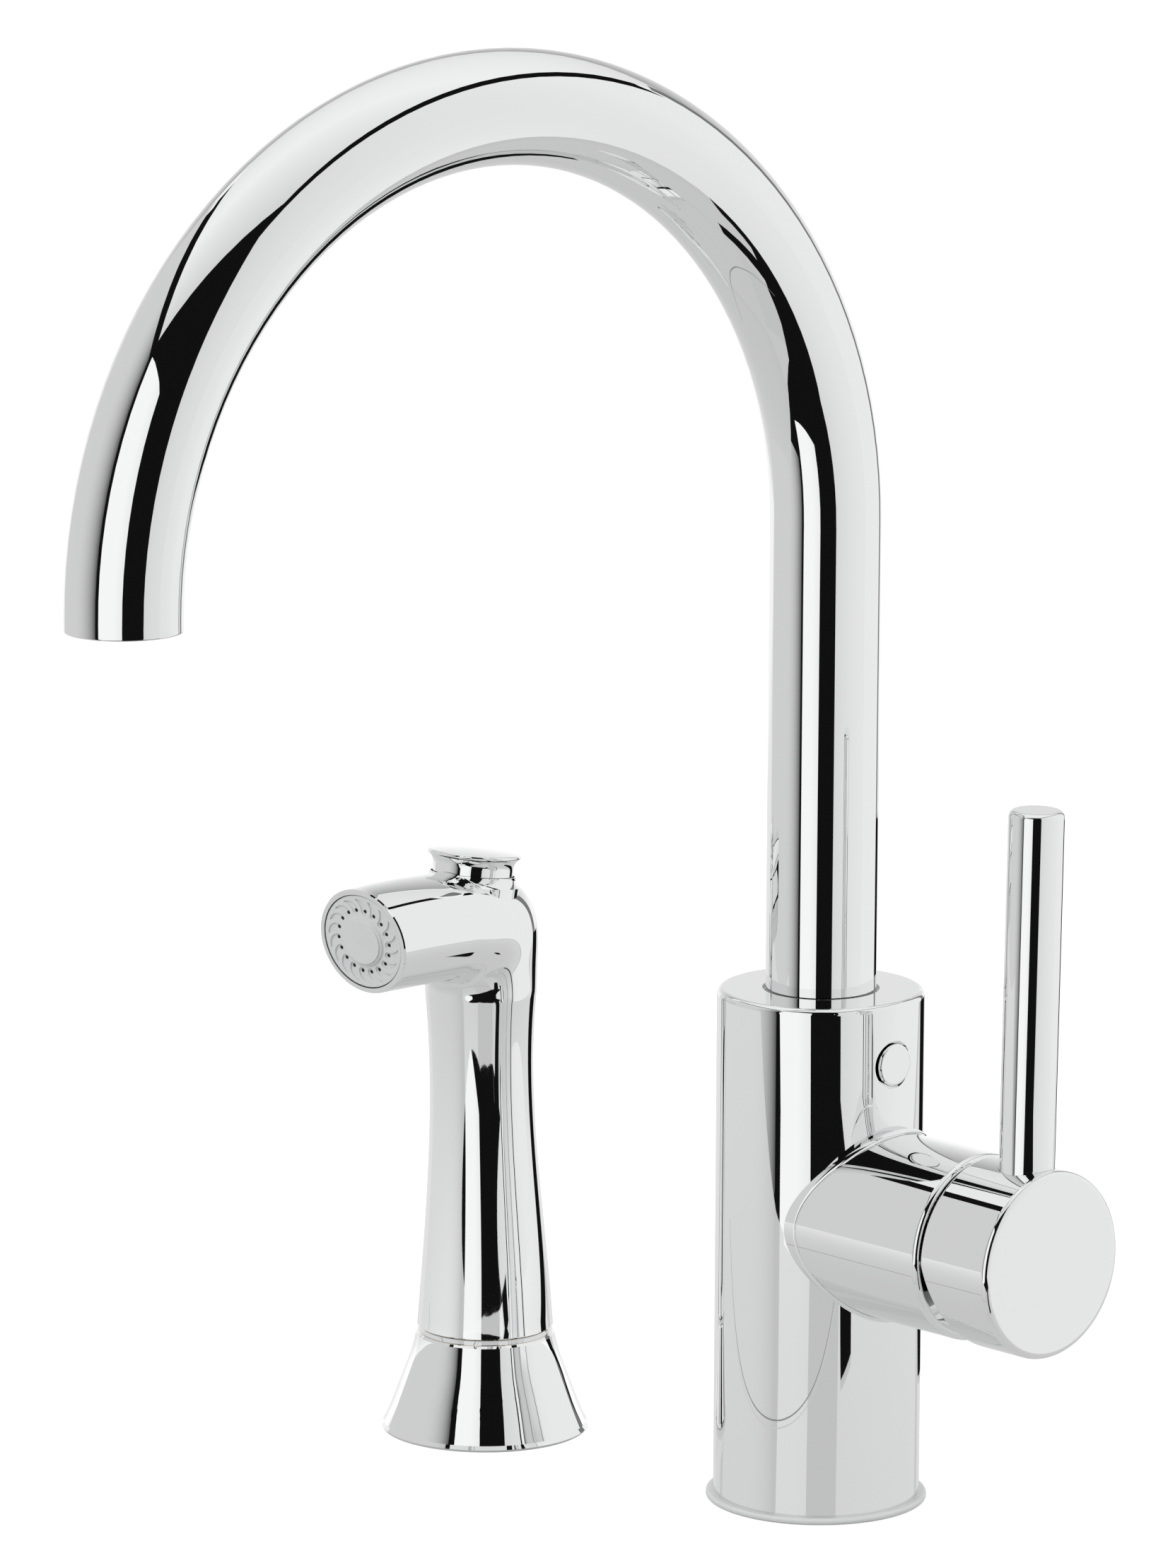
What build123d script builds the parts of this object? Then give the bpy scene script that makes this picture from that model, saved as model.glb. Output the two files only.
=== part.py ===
from build123d import *

import os
from math import cos, exp, radians, sin, sqrt, tan

os.makedirs("parts", exist_ok=True)

# A kitchen faucet with a tall swivel spout, a side lever and a separate hand spray.
# Millimetres. The origin is on the body's axis at deck level, +Z is up, the spout
# reaches towards -Y, the valve housing and its lever are on +X, the spray is on -X.

# ---- Driving dimensions: faucet body ----
body_radius = 25.0
body_height = 126.4
body_edge = 1.5
gasket_radius = 26.8
gasket_thickness = 1.6
gasket_edge = 0.7
cavity_radius = 21.0
cavity_drop = 26.4
cut_over = 1.0
edge_search = 0.1

# ---- Driving dimensions: water connections in the cavity's ceiling ----
port_tap_radius = 4.5
port_tap_depth = 12.0
inlet_x = 8.0
inlet_y = 9.0
inlet_bore_radius = 3.2
spray_outlet_x = -13.0
stud_x = -4.0
stud_y = 15.0
stud_tap_radius = 2.5
stud_tap_depth = 14.0

# ---- Driving dimensions: spout ----
spout_radius = 13.35
spout_wall = 1.2
spout_arc_radius = 105.3
spout_rise = 113.6
spout_drop = 3.0
spout_turn = -1.94
socket_radius = 14.1
socket_depth = 30.4
washer_thickness = 1.0
washer_bore_radius = 6.5
stem_gap = 0.4
stem_bore_radius = 9.0
stem_land_length = 19.5
stem_spigot_length = 7.5
groove_floor_radius = 10.2
groove_width = 4.0
seal_groove_depth = 1.8
seal_groove_width = 2.8
seal_pitch = 5.0
seal_first = 4.2
glide_ring_length = 3.2
glide_ring_recess = 0.8
running_clearance = 0.05
seat_clearance = 0.1

# ---- Driving dimensions: spout retaining screw and its cover ----
cover_drop = 14.8
cover_radius = 5.2
cover_pocket_radius = 5.75
cover_pocket_x = 22.5
cover_proud = 0.6
cover_edge = 0.7
cover_spigot_gap = 0.3
lock_screw_radius = 3.0
lock_screw_length = 5.2
lock_screw_gap = 0.2
lock_tip_radius = 1.7
key_depth = 2.5

# ---- Driving dimensions: valve housing and cartridge ----
handle_drop = 54.0
housing_radius = 22.5
housing_end = 55.0
housing_edge = 1.5
pocket_radius = 17.6
pocket_floor = 14.0
pocket_shoulder = 45.0
nut_bore_radius = 19.0
cartridge_radius = 17.4
base_thickness = 5.0
disc_thickness = 3.5
disc_film = 0.05
fixed_disc_radius = 14.5
moving_disc_radius = 12.2
mixing_width = 18.0
mixing_height = 9.0
mixing_drop = 5.0
mixing_depth = 1.8
carrier_half_width = 9.0
shell_side_gap = 0.6
shell_roof = 2.5
rotor_neck_radius = 9.6
rotor_reach = 47.0
supply_port_y = 8.0
supply_port_z = 4.0
mixed_port_z = -8.5
port_radius = 3.4
mixed_bore_radius = 4.0
port_seal_width = 1.2
pivot_x = 40.0
ball_x = 30.0
ball_radius = 3.0
ball_neck_radius = 2.25
rotor_ball_gap = 0.6
rotor_roof_gap = 0.3
pin_half_length = 11.0
spindle_radius = 3.8
spindle_square = 7.0
square_lead = 3.0
square_grip = 10.0
pin_radius = 1.5
moving_gap = 0.4
nut_length = 6.0
nut_opening_radius = 12.0
nut_slot_width = 5.0

# ---- Driving dimensions: handle ----
cap_gap = 1.1
cap_end = 77.8
cap_front_edge = 1.6
cap_rear_edge = 1.0
cap_wall = 2.7
flow_tilt = 15.0
wedge_spare = 1.5
dome_radius = 24.2
dome_wall = 1.3
dome_opening_radius = 13.0
dome_clearance = 0.7
lever_x = 68.6
lever_radius = 6.62
lever_height = 107.9
lever_lean = 0.95
lever_edge = 1.4
lever_sink = 2.0
tenon_radius = 3.5
tenon_length = 10.0
grip_screw_x = 70.0
grip_screw_radius = 2.5
grip_screw_length = 10.0
grip_plug_length = 3.0

# ---- Driving dimensions: diverter under the spout ----
diverter_radius = 7.5
diverter_depth = 18.5
chamber_radius = 6.0
chamber_depth = 4.0
cage_wall = 2.0
cage_floor = 1.5
cage_floor_opening = 3.0
seat_rise = 10.5
seat_web = 1.5
seat_opening = 2.8
diverter_port_rise = 4.0
diverter_port_radius = 2.2
piston_stem_radius = 1.4
piston_skirt = 2.0
piston_head = 1.2
flow_hole_count = 4
flow_hole_radius = 1.0
flow_hole_circle = 3.4
piston_seal_thickness = 0.8
diverter_travel = 2.0
diverter_spring_length = 5.5
diverter_spring_pitch = 1.25
diverter_wire = 0.5

# ---- Driving dimensions: aerator in the spout's tip ----
aerator_inner_radius = 10.2
aerator_length = 9.5
aerator_recess = 0.8
aerator_core_recess = 1.0
aerator_core_length = 6.0
aerator_hole_radius = 0.9
aerator_hole_circles = ((2.9, 6), (5.6, 12), (8.3, 18))
aerator_neck_gap = 0.55
aerator_washer_thickness = 1.5
screen_thickness = 0.5
screen_pitch = 2.4
screen_gap = 1.5
screen_count = 7
screen_rim = 1.0

# ---- Driving dimensions: hand spray ----
hole_spacing = 101.6
hole_line_angle = 10.0
spray_yaw = 8.87
holder_radius = 26.0
holder_top_radius = 17.35
holder_height = 24.7
holder_lip_radius = 25.3
holder_lip_height = 1.5
holder_flare_radius = 24.4
holder_flare_height = 3.5
holder_middle_radius = 20.55
holder_middle_height = 13.6
holder_neck_radius = 18.0
holder_neck_height = 21.0
holder_top_edge = 0.5
holder_gasket_thickness = 0.6
holder_gasket_inset = 0.4
liner_radius = 14.6
liner_bore = 12.7
coupling_flange_radius = 16.3
coupling_flange = 1.3
coupling_shank_radius = 12.2
coupling_shank_foot = 7.0
coupling_spigot_radius = 9.0
coupling_spigot_length = 18.0
coupling_bore = 4.5
coupling_seal_rise = 12.6
coupling_seal_thickness = 0.8
socket_wall = 3.5
socket_clearance = 2.0
hose_tap_radius = 5.72
hose_tap_depth = 11.0
wand_gap = 0.3
wand_foot_radius = 17.0
wand_middle_rise = 28.7
wand_middle_radius = 14.65
wand_middle_shift = 0.4
wand_waist_rise = 63.7
wand_waist_radius = 12.9
wand_waist_shift = 1.6
wand_wall = 2.0
end_ring_thickness = 2.4
end_ring_recess = 0.6
end_ring_wall = 1.9

# ---- Driving dimensions: bend of the hand spray, seen from its throat's centre ----
throat_reach = 20.5
throat_rise = 86.7
throat_radius = 5.0
bend_depth_below = 32.4
bend_depth_ahead = 31.1
bend_bulge = 6.3
bend_bulge_angle = 38.0
bend_bulge_spread = 20.0
head_crown = 0.45
grip_steps = 12
bend_step = 5
head_steps = 5

# ---- Driving dimensions: spray head ----
face_ahead = 27.34
face_rise = 18.96
face_tilt = 9.14
head_radius = 13.33
face_seat_radius = 12.0
face_seat_depth = 6.4
face_radius = 11.75
face_recess = 0.25
face_thickness = 3.4
face_seal_width = 1.6
flange_plate = 1.8
face_screw_radius = 1.25
face_screw_head_radius = 2.8
face_screw_head = 1.6
face_screw_well = 2.0
face_key_depth = 1.0
nozzle_count = 18
nozzle_circle = 7.9
nozzle_radius = 0.5
swirl_dish_radius = 0.95
swirl_depth = 0.35
swirl_outer_circle = 10.8
swirl_sweep = 17.0
swirl_long_bow = (2.2, 0.35)
swirl_short_bow = (1.2, 1.5)
boss_radius = 6.1
boss_step_radius = 5.5
boss_height = 0.9
button_angle = 60.65
button_sink = 3.08
button_tilt = 8.0
collar_radius = 11.9
collar_height = 2.6
collar_lip = 0.45
collar_waist_wall = 0.72
collar_waist_height = 1.0
button_neck_radius = 10.0
button_flange_radius = 11.6
button_gap = 2.4
button_edge = 0.45
button_dome = 0.7
button_flare = 2.7
flare_share_out = 0.35
flare_share_up = 0.7
button_foot = -2.0
button_wall = 2.4
button_ceiling = 5.5
button_travel = 2.5
button_wire = 0.8
button_spring_radius = 4.6
button_spring_pitch = 2.2

# ---- Driving dimensions: valve under the button, heights along the button's axis ----
valve_roof = -5.5
valve_roof_thickness = 2.0
valve_seat = -12.8
valve_seat_web = 1.2
valve_outlet = -9.6
valve_floor = 1.5
valve_outer_radius = 6.5
valve_inner_radius = 4.2
valve_seat_opening = 2.6
valve_stem_radius = 1.5
valve_washer_thickness = 1.6
stem_nut_radius = 3.0
stem_nut_thickness = 1.0
riser_offset = 2.1
riser_radius = 6.0
riser_bore = 4.0
riser_cap = 2.5
duct_drop = 5.1
duct_radius = 4.4
duct_bore = 2.0

# ---- Places worked out from the dimensions ----
handle_height = body_height - handle_drop
cavity_top = handle_height - cavity_drop
socket_floor = body_height - socket_depth
glide_ring_foot = body_height - glide_ring_recess - glide_ring_length
cover_height = body_height - cover_drop
diverter_ledge = socket_floor - diverter_depth
chamber_floor = diverter_ledge - chamber_depth
diverter_port_height = diverter_ledge + diverter_port_rise
seat_height = diverter_ledge + seat_rise
spout_spring_line = body_height + spout_rise
spout_tip_height = spout_spring_line - spout_drop
spout_heading = (sin(radians(spout_turn)), -cos(radians(spout_turn)), 0)
spout_side = Plane(
    origin=(0, 0, 0),
    x_dir=spout_heading,
    z_dir=(-cos(radians(spout_turn)), -sin(radians(spout_turn)), 0),
)
spout_reach = 2 * spout_arc_radius
spout_inner_radius = spout_radius - spout_wall
tip_point = spout_side.from_local_coords((spout_reach, spout_tip_height, 0))
stem_foot = socket_floor + washer_thickness
stem_shoulder = stem_foot + stem_land_length
stem_radius = socket_radius - stem_gap
seal_floor_radius = stem_radius - seal_groove_depth
seal_heights = [stem_foot + seal_first + index * seal_pitch for index in range(2)]

handle_axis = Axis((0, 0, handle_height), (1, 0, 0))
cap_rear = housing_end + cap_gap
cap_inner_radius = housing_radius - cap_wall
cap_ceiling = pivot_x + dome_radius + dome_clearance
fixed_disc_x = pocket_floor + base_thickness
moving_disc_x = fixed_disc_x + disc_thickness + disc_film
carrier_x = moving_disc_x + disc_thickness
ball_arm = pivot_x - ball_x
disc_travel = ball_arm * sin(radians(flow_tilt))
shell_inner_radius = moving_disc_radius + disc_travel + shell_side_gap
nut_face = pocket_shoulder + nut_length
lever_plane = Plane(
    origin=(lever_x, 0, handle_height),
    x_dir=(cos(radians(lever_lean)), 0, -sin(radians(lever_lean))),
    z_dir=(sin(radians(lever_lean)), 0, cos(radians(lever_lean))),
)
lever_foot = housing_radius - lever_sink

spray_x = -hole_spacing * cos(radians(hole_line_angle))
spray_y = -hole_spacing * sin(radians(hole_line_angle))
spray_forward = Vector(sin(radians(spray_yaw)), -cos(radians(spray_yaw)), 0)
spray_across = Vector(cos(radians(spray_yaw)), sin(radians(spray_yaw)), 0)
spray_side = Plane(origin=(spray_x, spray_y, 0), x_dir=spray_forward, z_dir=-spray_across)
spray_axis = Axis((spray_x, spray_y, 0), (0, 0, 1))
flange_top = holder_height + coupling_flange
spigot_top = flange_top + coupling_spigot_length
socket_outer_radius = coupling_spigot_radius + socket_wall
socket_top = spigot_top + socket_clearance

wand_foot = flange_top + wand_gap
wand_middle_height = wand_foot + wand_middle_rise
wand_waist_height = wand_foot + wand_waist_rise
throat_height = wand_foot + throat_rise
face_reach = throat_reach + face_ahead
face_height = throat_height + face_rise
flange_depth = face_seat_depth - flange_plate
button_flange_height = collar_height + button_travel + button_gap
washer_foot = valve_seat - valve_seat_web - valve_washer_thickness
inlet_foot = washer_foot - stem_nut_thickness - button_travel - moving_gap
valve_foot = inlet_foot - valve_floor


def bend_depth(angle):
    """Depth of the shell's back from the throat's centre, fullest at the elbow."""
    bulge = bend_bulge * exp(-(((angle - bend_bulge_angle) / bend_bulge_spread) ** 2))
    lower_share = cos(radians(angle))
    return bend_depth_ahead + (bend_depth_below - bend_depth_ahead) * lower_share + bulge


def bend_point(depth, angle):
    """Point at a depth from the throat's centre, turned up from the backward line."""
    return (
        throat_reach - depth * cos(radians(angle)),
        throat_height + depth * sin(radians(angle)),
    )


button_reach, button_seat_height = bend_point(bend_depth(button_angle) - button_sink, button_angle)


def spray_plane(height):
    """Horizontal plane on the hand spray's axis, its X axis pointing forward."""
    return Plane(origin=(spray_x, spray_y, height), x_dir=spray_forward, z_dir=(0, 0, 1))


def handle_plane(distance):
    """Plane across the valve's axis, X along the row's +Y and Y along its +Z."""
    return Plane(origin=(distance, 0, handle_height), x_dir=(0, 1, 0), z_dir=(1, 0, 0))


def tilted_plane(reach, height, forward, up):
    """Plane on the spray's middle line whose normal points (forward, up)."""
    return Plane(
        origin=spray_side.from_local_coords((reach, height, 0)),
        x_dir=spray_across,
        z_dir=spray_forward * forward + Vector(0, 0, up),
    )


def face_point(depth, drop):
    """Point on the middle line, a depth behind the head's rim and a drop below its centre."""
    forward = cos(radians(face_tilt))
    up = -sin(radians(face_tilt))
    return (face_reach - depth * forward + drop * up, face_height - depth * up - drop * forward)


def face_plane(depth):
    """Plane parallel to the spray face, a depth behind the head's rim."""
    return tilted_plane(*face_point(depth, 0), cos(radians(face_tilt)), -sin(radians(face_tilt)))


def button_point(rise):
    """Point on the button's axis, a rise above its seat."""
    tilt = radians(button_tilt)
    return (button_reach - rise * sin(tilt), button_seat_height + rise * cos(tilt))


def button_plane(rise):
    """Plane across the button's axis, a rise above its seat."""
    tilt = radians(button_tilt)
    return tilted_plane(*button_point(rise), -sin(tilt), cos(tilt))


def rod(at, radius, length):
    """Add a round bar that starts on a plane."""
    with BuildSketch(at) as outline:
        Circle(radius)
    extrude(outline.sketch, amount=length)


def drill(at, radius, depth):
    """Cut a round hole that starts on a plane and follows its normal."""
    with BuildSketch(at) as outline:
        Circle(radius)
    extrude(outline.sketch, amount=depth, mode=Mode.SUBTRACT)


def ring(at, outer, inner, thickness, mode=Mode.ADD):
    """Add or cut a flat ring that starts on a plane."""
    with BuildSketch(at) as outline:
        Circle(outer)
        Circle(inner, mode=Mode.SUBTRACT)
    extrude(outline.sketch, amount=thickness, mode=mode)


def hex_socket(at, screw_radius, depth):
    """Cut a hexagon key socket into a screw's end, as wide as the screw's radius."""
    with BuildSketch(at) as outline:
        RegularPolygon(screw_radius / 2, 6, major_radius=False)
    extrude(outline.sketch, amount=-depth, mode=Mode.SUBTRACT)


def spring(at, radius, length, pitch, wire):
    """Add a helical spring with its turns between a plane and a length above it."""
    coil = Helix(pitch=pitch, height=length - wire, radius=radius)
    start = at.offset(wire / 2)
    path = start.location * coil
    section = Plane(origin=path @ 0, z_dir=path % 0)
    with BuildSketch(section) as outline:
        Circle(wire / 2)
    sweep(outline.sketch, path=path, is_frenet=True)


# ---- Faucet body: one casting with its housing, hose cavity and waterways ----
with BuildPart() as faucet_body:
    rod(Plane.XY.offset(gasket_thickness), body_radius, body_height - gasket_thickness)
    fillet(faucet_body.edges().filter_by(GeomType.CIRCLE).sort_by(Axis.Z)[-1], body_edge)
    rod(handle_plane(0), housing_radius, housing_end)
    fillet(faucet_body.edges().filter_by(GeomType.CIRCLE).sort_by(Axis.X)[-1], housing_edge)
    drill(Plane.XY.offset(gasket_thickness), cavity_radius, cavity_top - gasket_thickness)
    # Spout socket, diverter seat and the chamber under it
    drill(Plane.XY.offset(socket_floor), socket_radius, body_height)
    drill(Plane.XY.offset(diverter_ledge), diverter_radius, socket_floor - diverter_ledge)
    drill(Plane.XY.offset(chamber_floor), chamber_radius, diverter_ledge - chamber_floor)
    # Cartridge pocket with the nut's threaded bore in front of it
    drill(handle_plane(pocket_floor), pocket_radius, housing_end)
    drill(handle_plane(pocket_shoulder), nut_bore_radius, housing_end)
    # Mixed water: in from the pocket's floor, then up to the diverter
    mixed_height = handle_height + mixed_port_z
    with BuildSketch(handle_plane(0)) as mixed_port:
        with Locations((0, mixed_port_z)):
            Circle(mixed_bore_radius)
    extrude(mixed_port.sketch, amount=pocket_floor, mode=Mode.SUBTRACT)
    drill(Plane.XY.offset(mixed_height), mixed_bore_radius, chamber_floor - mixed_height)
    # Hot and cold: threaded below, then up and across to the pocket's floor
    supply_height = handle_height + supply_port_z
    with BuildSketch(Plane.XY.offset(cavity_top)) as inlet_taps:
        with Locations((inlet_x, inlet_y), (inlet_x, -inlet_y), (spray_outlet_x, 0)):
            Circle(port_tap_radius)
    extrude(inlet_taps.sketch, amount=port_tap_depth, mode=Mode.SUBTRACT)
    with BuildSketch(Plane.XY.offset(cavity_top)) as inlet_risers:
        with Locations((inlet_x, inlet_y), (inlet_x, -inlet_y)):
            Circle(inlet_bore_radius)
    extrude(inlet_risers.sketch, amount=supply_height - cavity_top, mode=Mode.SUBTRACT)
    with BuildSketch(handle_plane(inlet_x)) as supply_ports:
        with Locations((supply_port_y, supply_port_z), (-supply_port_y, supply_port_z)):
            Circle(port_radius)
    extrude(supply_ports.sketch, amount=pocket_floor - inlet_x, mode=Mode.SUBTRACT)
    # Spray line: across from the diverter, then down to its thread
    with BuildSketch(Plane.XY.offset(cavity_top)) as spray_drop:
        with Locations((spray_outlet_x, 0)):
            Circle(inlet_bore_radius)
    extrude(spray_drop.sketch, amount=diverter_port_height - cavity_top, mode=Mode.SUBTRACT)
    drill(
        Plane(origin=(spray_outlet_x, 0, diverter_port_height), z_dir=(1, 0, 0)),
        diverter_port_radius,
        -spray_outlet_x,
    )
    # Threaded holes for the two clamping studs
    with BuildSketch(Plane.XY.offset(cavity_top)) as stud_taps:
        with Locations((stud_x, stud_y), (stud_x, -stud_y)):
            Circle(stud_tap_radius)
    extrude(stud_taps.sketch, amount=stud_tap_depth, mode=Mode.SUBTRACT)
    # Retaining screw's thread and the pocket for its cover
    screw_plane = Plane(origin=(0, 0, cover_height), x_dir=(0, 1, 0), z_dir=(1, 0, 0))
    drill(screw_plane, lock_screw_radius, body_radius)
    drill(screw_plane.offset(cover_pocket_x), cover_pocket_radius, body_radius)
faucet_body.part.label = "faucet_body"
export_step(faucet_body.part, "parts/faucet_body.step")

# ---- Gasket between the body and the deck ----
with BuildPart() as base_gasket:
    ring(Plane.XY, gasket_radius, cavity_radius, gasket_thickness)
    fillet(base_gasket.edges().filter_by(GeomType.CIRCLE).sort_by(SortBy.RADIUS)[-2:], gasket_edge)
base_gasket.part.label = "base_gasket"
export_step(base_gasket.part, "parts/base_gasket.step")

# ---- Spout: one bent tube ----
with BuildPart() as spout_tube:
    with BuildLine(spout_side) as spout_path:
        Line((0, stem_shoulder), (0, spout_spring_line))
        ThreePointArc(
            (0, spout_spring_line),
            (spout_arc_radius, spout_spring_line + spout_arc_radius),
            (spout_reach, spout_spring_line),
        )
        Line((spout_reach, spout_spring_line), (spout_reach, spout_tip_height))
    with BuildSketch(Plane.XY.offset(stem_shoulder)):
        Circle(spout_radius)
        Circle(spout_inner_radius, mode=Mode.SUBTRACT)
    sweep()
    tip_edges = spout_tube.edges().filter_by_position(
        Axis.Z, spout_tip_height - edge_search, spout_tip_height + edge_search
    )
    fillet(tip_edges, spout_wall / 3)
spout_tube.part.label = "spout_tube"
export_step(spout_tube.part, "parts/spout_tube.step")

# ---- Brass stem brazed into the spout's foot, turning in the body's socket ----
with BuildPart() as spout_stem:
    rod(Plane.XY.offset(stem_foot), stem_radius, stem_land_length)
    rod(Plane.XY.offset(stem_shoulder), spout_inner_radius - seat_clearance, stem_spigot_length)
    drill(Plane.XY.offset(stem_foot), stem_bore_radius, stem_land_length + stem_spigot_length)
    ring(
        Plane.XY.offset(cover_height - groove_width / 2),
        socket_radius,
        groove_floor_radius,
        groove_width,
        Mode.SUBTRACT,
    )
    for seal_height in seal_heights:
        ring(
            Plane.XY.offset(seal_height - seal_groove_width / 2),
            socket_radius,
            seal_floor_radius,
            seal_groove_width,
            Mode.SUBTRACT,
        )
spout_stem.part.label = "spout_stem"
export_step(spout_stem.part, "parts/spout_stem.step")

# ---- Two rubber rings that seal the stem ----
seal_thickness = (socket_radius - seal_floor_radius) / 2 - running_clearance
with BuildPart() as spout_seals:
    for seal_height in seal_heights:
        with Locations((0, 0, seal_height)):
            Torus((socket_radius + seal_floor_radius) / 2, seal_thickness)
spout_seals.part.label = "spout_seals"
export_step(spout_seals.part, "parts/spout_seals.step")

# ---- Plastic washer that carries the stem ----
with BuildPart() as spout_thrust_washer:
    ring(
        Plane.XY.offset(socket_floor),
        socket_radius - seat_clearance,
        washer_bore_radius,
        washer_thickness,
    )
spout_thrust_washer.part.label = "spout_thrust_washer"
export_step(spout_thrust_washer.part, "parts/spout_thrust_washer.step")

# ---- Plastic ring that guides the tube at the socket's mouth ----
with BuildPart() as spout_glide_ring:
    ring(
        Plane.XY.offset(glide_ring_foot),
        socket_radius,
        spout_radius + running_clearance,
        glide_ring_length,
    )
spout_glide_ring.part.label = "spout_glide_ring"
export_step(spout_glide_ring.part, "parts/spout_glide_ring.step")

# ---- Grub screw whose tip runs in the stem's groove ----
screw_foot = socket_radius + lock_screw_gap
with BuildPart() as spout_lock_screw:
    rod(screw_plane.offset(screw_foot), lock_screw_radius, lock_screw_length)
    rod(
        screw_plane.offset(groove_floor_radius + moving_gap),
        lock_tip_radius,
        screw_foot - groove_floor_radius - moving_gap,
    )
    hex_socket(screw_plane.offset(screw_foot + lock_screw_length), lock_screw_radius, key_depth)
spout_lock_screw.part.label = "spout_lock_screw"
export_step(spout_lock_screw.part, "parts/spout_lock_screw.step")

# ---- Round cover pressed in over the grub screw ----
with BuildPart() as spout_screw_cover:
    rod(
        screw_plane.offset(cover_pocket_x),
        cover_radius,
        body_radius + cover_proud - cover_pocket_x,
    )
    fillet(spout_screw_cover.edges().filter_by(GeomType.CIRCLE).sort_by(Axis.X)[-1], cover_edge)
    cover_spigot_foot = screw_foot + lock_screw_length + cover_spigot_gap
    rod(
        screw_plane.offset(cover_spigot_foot),
        lock_screw_radius - seat_clearance,
        cover_pocket_x - cover_spigot_foot,
    )
spout_screw_cover.part.label = "spout_screw_cover"
export_step(spout_screw_cover.part, "parts/spout_screw_cover.step")

# ---- Cartridge: base with its three ports ----
port_places = [
    (supply_port_y, supply_port_z),
    (-supply_port_y, supply_port_z),
    (0, mixed_port_z),
]
with BuildPart() as cartridge_base:
    rod(handle_plane(pocket_floor), cartridge_radius, base_thickness)
    with BuildSketch(handle_plane(pocket_floor)) as base_ports:
        with Locations(*port_places):
            Circle(port_radius)
    extrude(base_ports.sketch, amount=base_thickness, mode=Mode.SUBTRACT)
    with BuildSketch(handle_plane(pocket_floor)) as base_seal_seats:
        with Locations(*port_places):
            Circle(port_radius + port_seal_width)
    extrude(base_seal_seats.sketch, amount=port_seal_width, mode=Mode.SUBTRACT)
cartridge_base.part.label = "cartridge_base"
export_step(cartridge_base.part, "parts/cartridge_base.step")

with BuildPart() as cartridge_port_seals:
    with BuildSketch(handle_plane(pocket_floor)):
        with Locations(*port_places):
            Circle(port_radius + port_seal_width)
            Circle(port_radius, mode=Mode.SUBTRACT)
    extrude(amount=port_seal_width)
cartridge_port_seals.part.label = "cartridge_port_seals"
export_step(cartridge_port_seals.part, "parts/cartridge_port_seals.step")

# ---- Cartridge: fixed ceramic disc ----
with BuildPart() as fixed_disc:
    with BuildSketch(handle_plane(fixed_disc_x)):
        Circle(fixed_disc_radius)
        with Locations(*port_places):
            Circle(port_radius, mode=Mode.SUBTRACT)
    extrude(amount=disc_thickness)
fixed_disc.part.label = "fixed_disc"
export_step(fixed_disc.part, "parts/fixed_disc.step")

# ---- Cartridge: moving ceramic disc with its mixing hollow ----
with BuildPart() as moving_disc:
    rod(handle_plane(moving_disc_x), moving_disc_radius, disc_thickness)
    with BuildSketch(handle_plane(moving_disc_x)) as mixing_hollow:
        with Locations((0, -mixing_drop)):
            SlotOverall(mixing_width, mixing_height)
    extrude(mixing_hollow.sketch, amount=mixing_depth, mode=Mode.SUBTRACT)
moving_disc.part.label = "moving_disc"
export_step(moving_disc.part, "parts/moving_disc.step")

# ---- Cartridge: slide that the spindle's ball pushes ----
carrier_length = ball_x + ball_radius - carrier_x
with BuildPart() as disc_carrier:
    with BuildSketch(handle_plane(carrier_x)) as carrier_outline:
        Circle(moving_disc_radius)
        Rectangle(2 * carrier_half_width, 2 * moving_disc_radius, mode=Mode.INTERSECT)
    extrude(carrier_outline.sketch, amount=carrier_length)
    drill(
        handle_plane(ball_x - ball_radius - moving_gap),
        ball_radius + moving_gap,
        carrier_length,
    )
disc_carrier.part.label = "disc_carrier"
export_step(disc_carrier.part, "parts/disc_carrier.step")

# ---- Cartridge: outer shell ----
with BuildPart() as cartridge_shell:
    ring(
        handle_plane(fixed_disc_x),
        cartridge_radius,
        shell_inner_radius,
        pocket_shoulder - shell_roof - fixed_disc_x,
    )
    ring(
        handle_plane(pocket_shoulder - shell_roof),
        cartridge_radius,
        rotor_neck_radius + moving_gap,
        shell_roof,
    )
cartridge_shell.part.label = "cartridge_shell"
export_step(cartridge_shell.part, "parts/cartridge_shell.step")

# ---- Cartridge: rotor that turns with the lever for temperature ----
rotor_radius = shell_inner_radius - moving_gap
rotor_floor = ball_x + ball_radius + rotor_ball_gap
rotor_top = pocket_shoulder - shell_roof - rotor_roof_gap
slot_half_width = spindle_radius + moving_gap
spindle_swing = (rotor_reach - pivot_x) * tan(radians(flow_tilt))
slot_half_height = spindle_radius / cos(radians(flow_tilt)) + spindle_swing + moving_gap
with BuildPart() as cartridge_rotor:
    rod(handle_plane(rotor_floor), rotor_radius, rotor_top - rotor_floor)
    rod(handle_plane(rotor_top), rotor_neck_radius, rotor_reach - rotor_top)
    # Two cheeks reach down beside the slide and turn it
    cheek_foot = carrier_x + rotor_roof_gap
    with BuildSketch(handle_plane(cheek_foot)) as cheeks:
        Circle(rotor_radius)
        Rectangle(
            2 * (carrier_half_width + moving_gap),
            2 * rotor_radius,
            mode=Mode.SUBTRACT,
        )
    extrude(cheeks.sketch, amount=rotor_floor - cheek_foot)
    with BuildSketch(handle_plane(rotor_floor)) as spindle_slot:
        Rectangle(2 * slot_half_width, 2 * slot_half_height)
    extrude(spindle_slot.sketch, amount=rotor_reach - rotor_floor, mode=Mode.SUBTRACT)
    pin_plane = Plane(origin=(pivot_x, 0, handle_height), z_dir=(0, 1, 0))
    drill(pin_plane.offset(-rotor_radius), pin_radius, 2 * rotor_radius)
cartridge_rotor.part.label = "cartridge_rotor"
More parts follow.
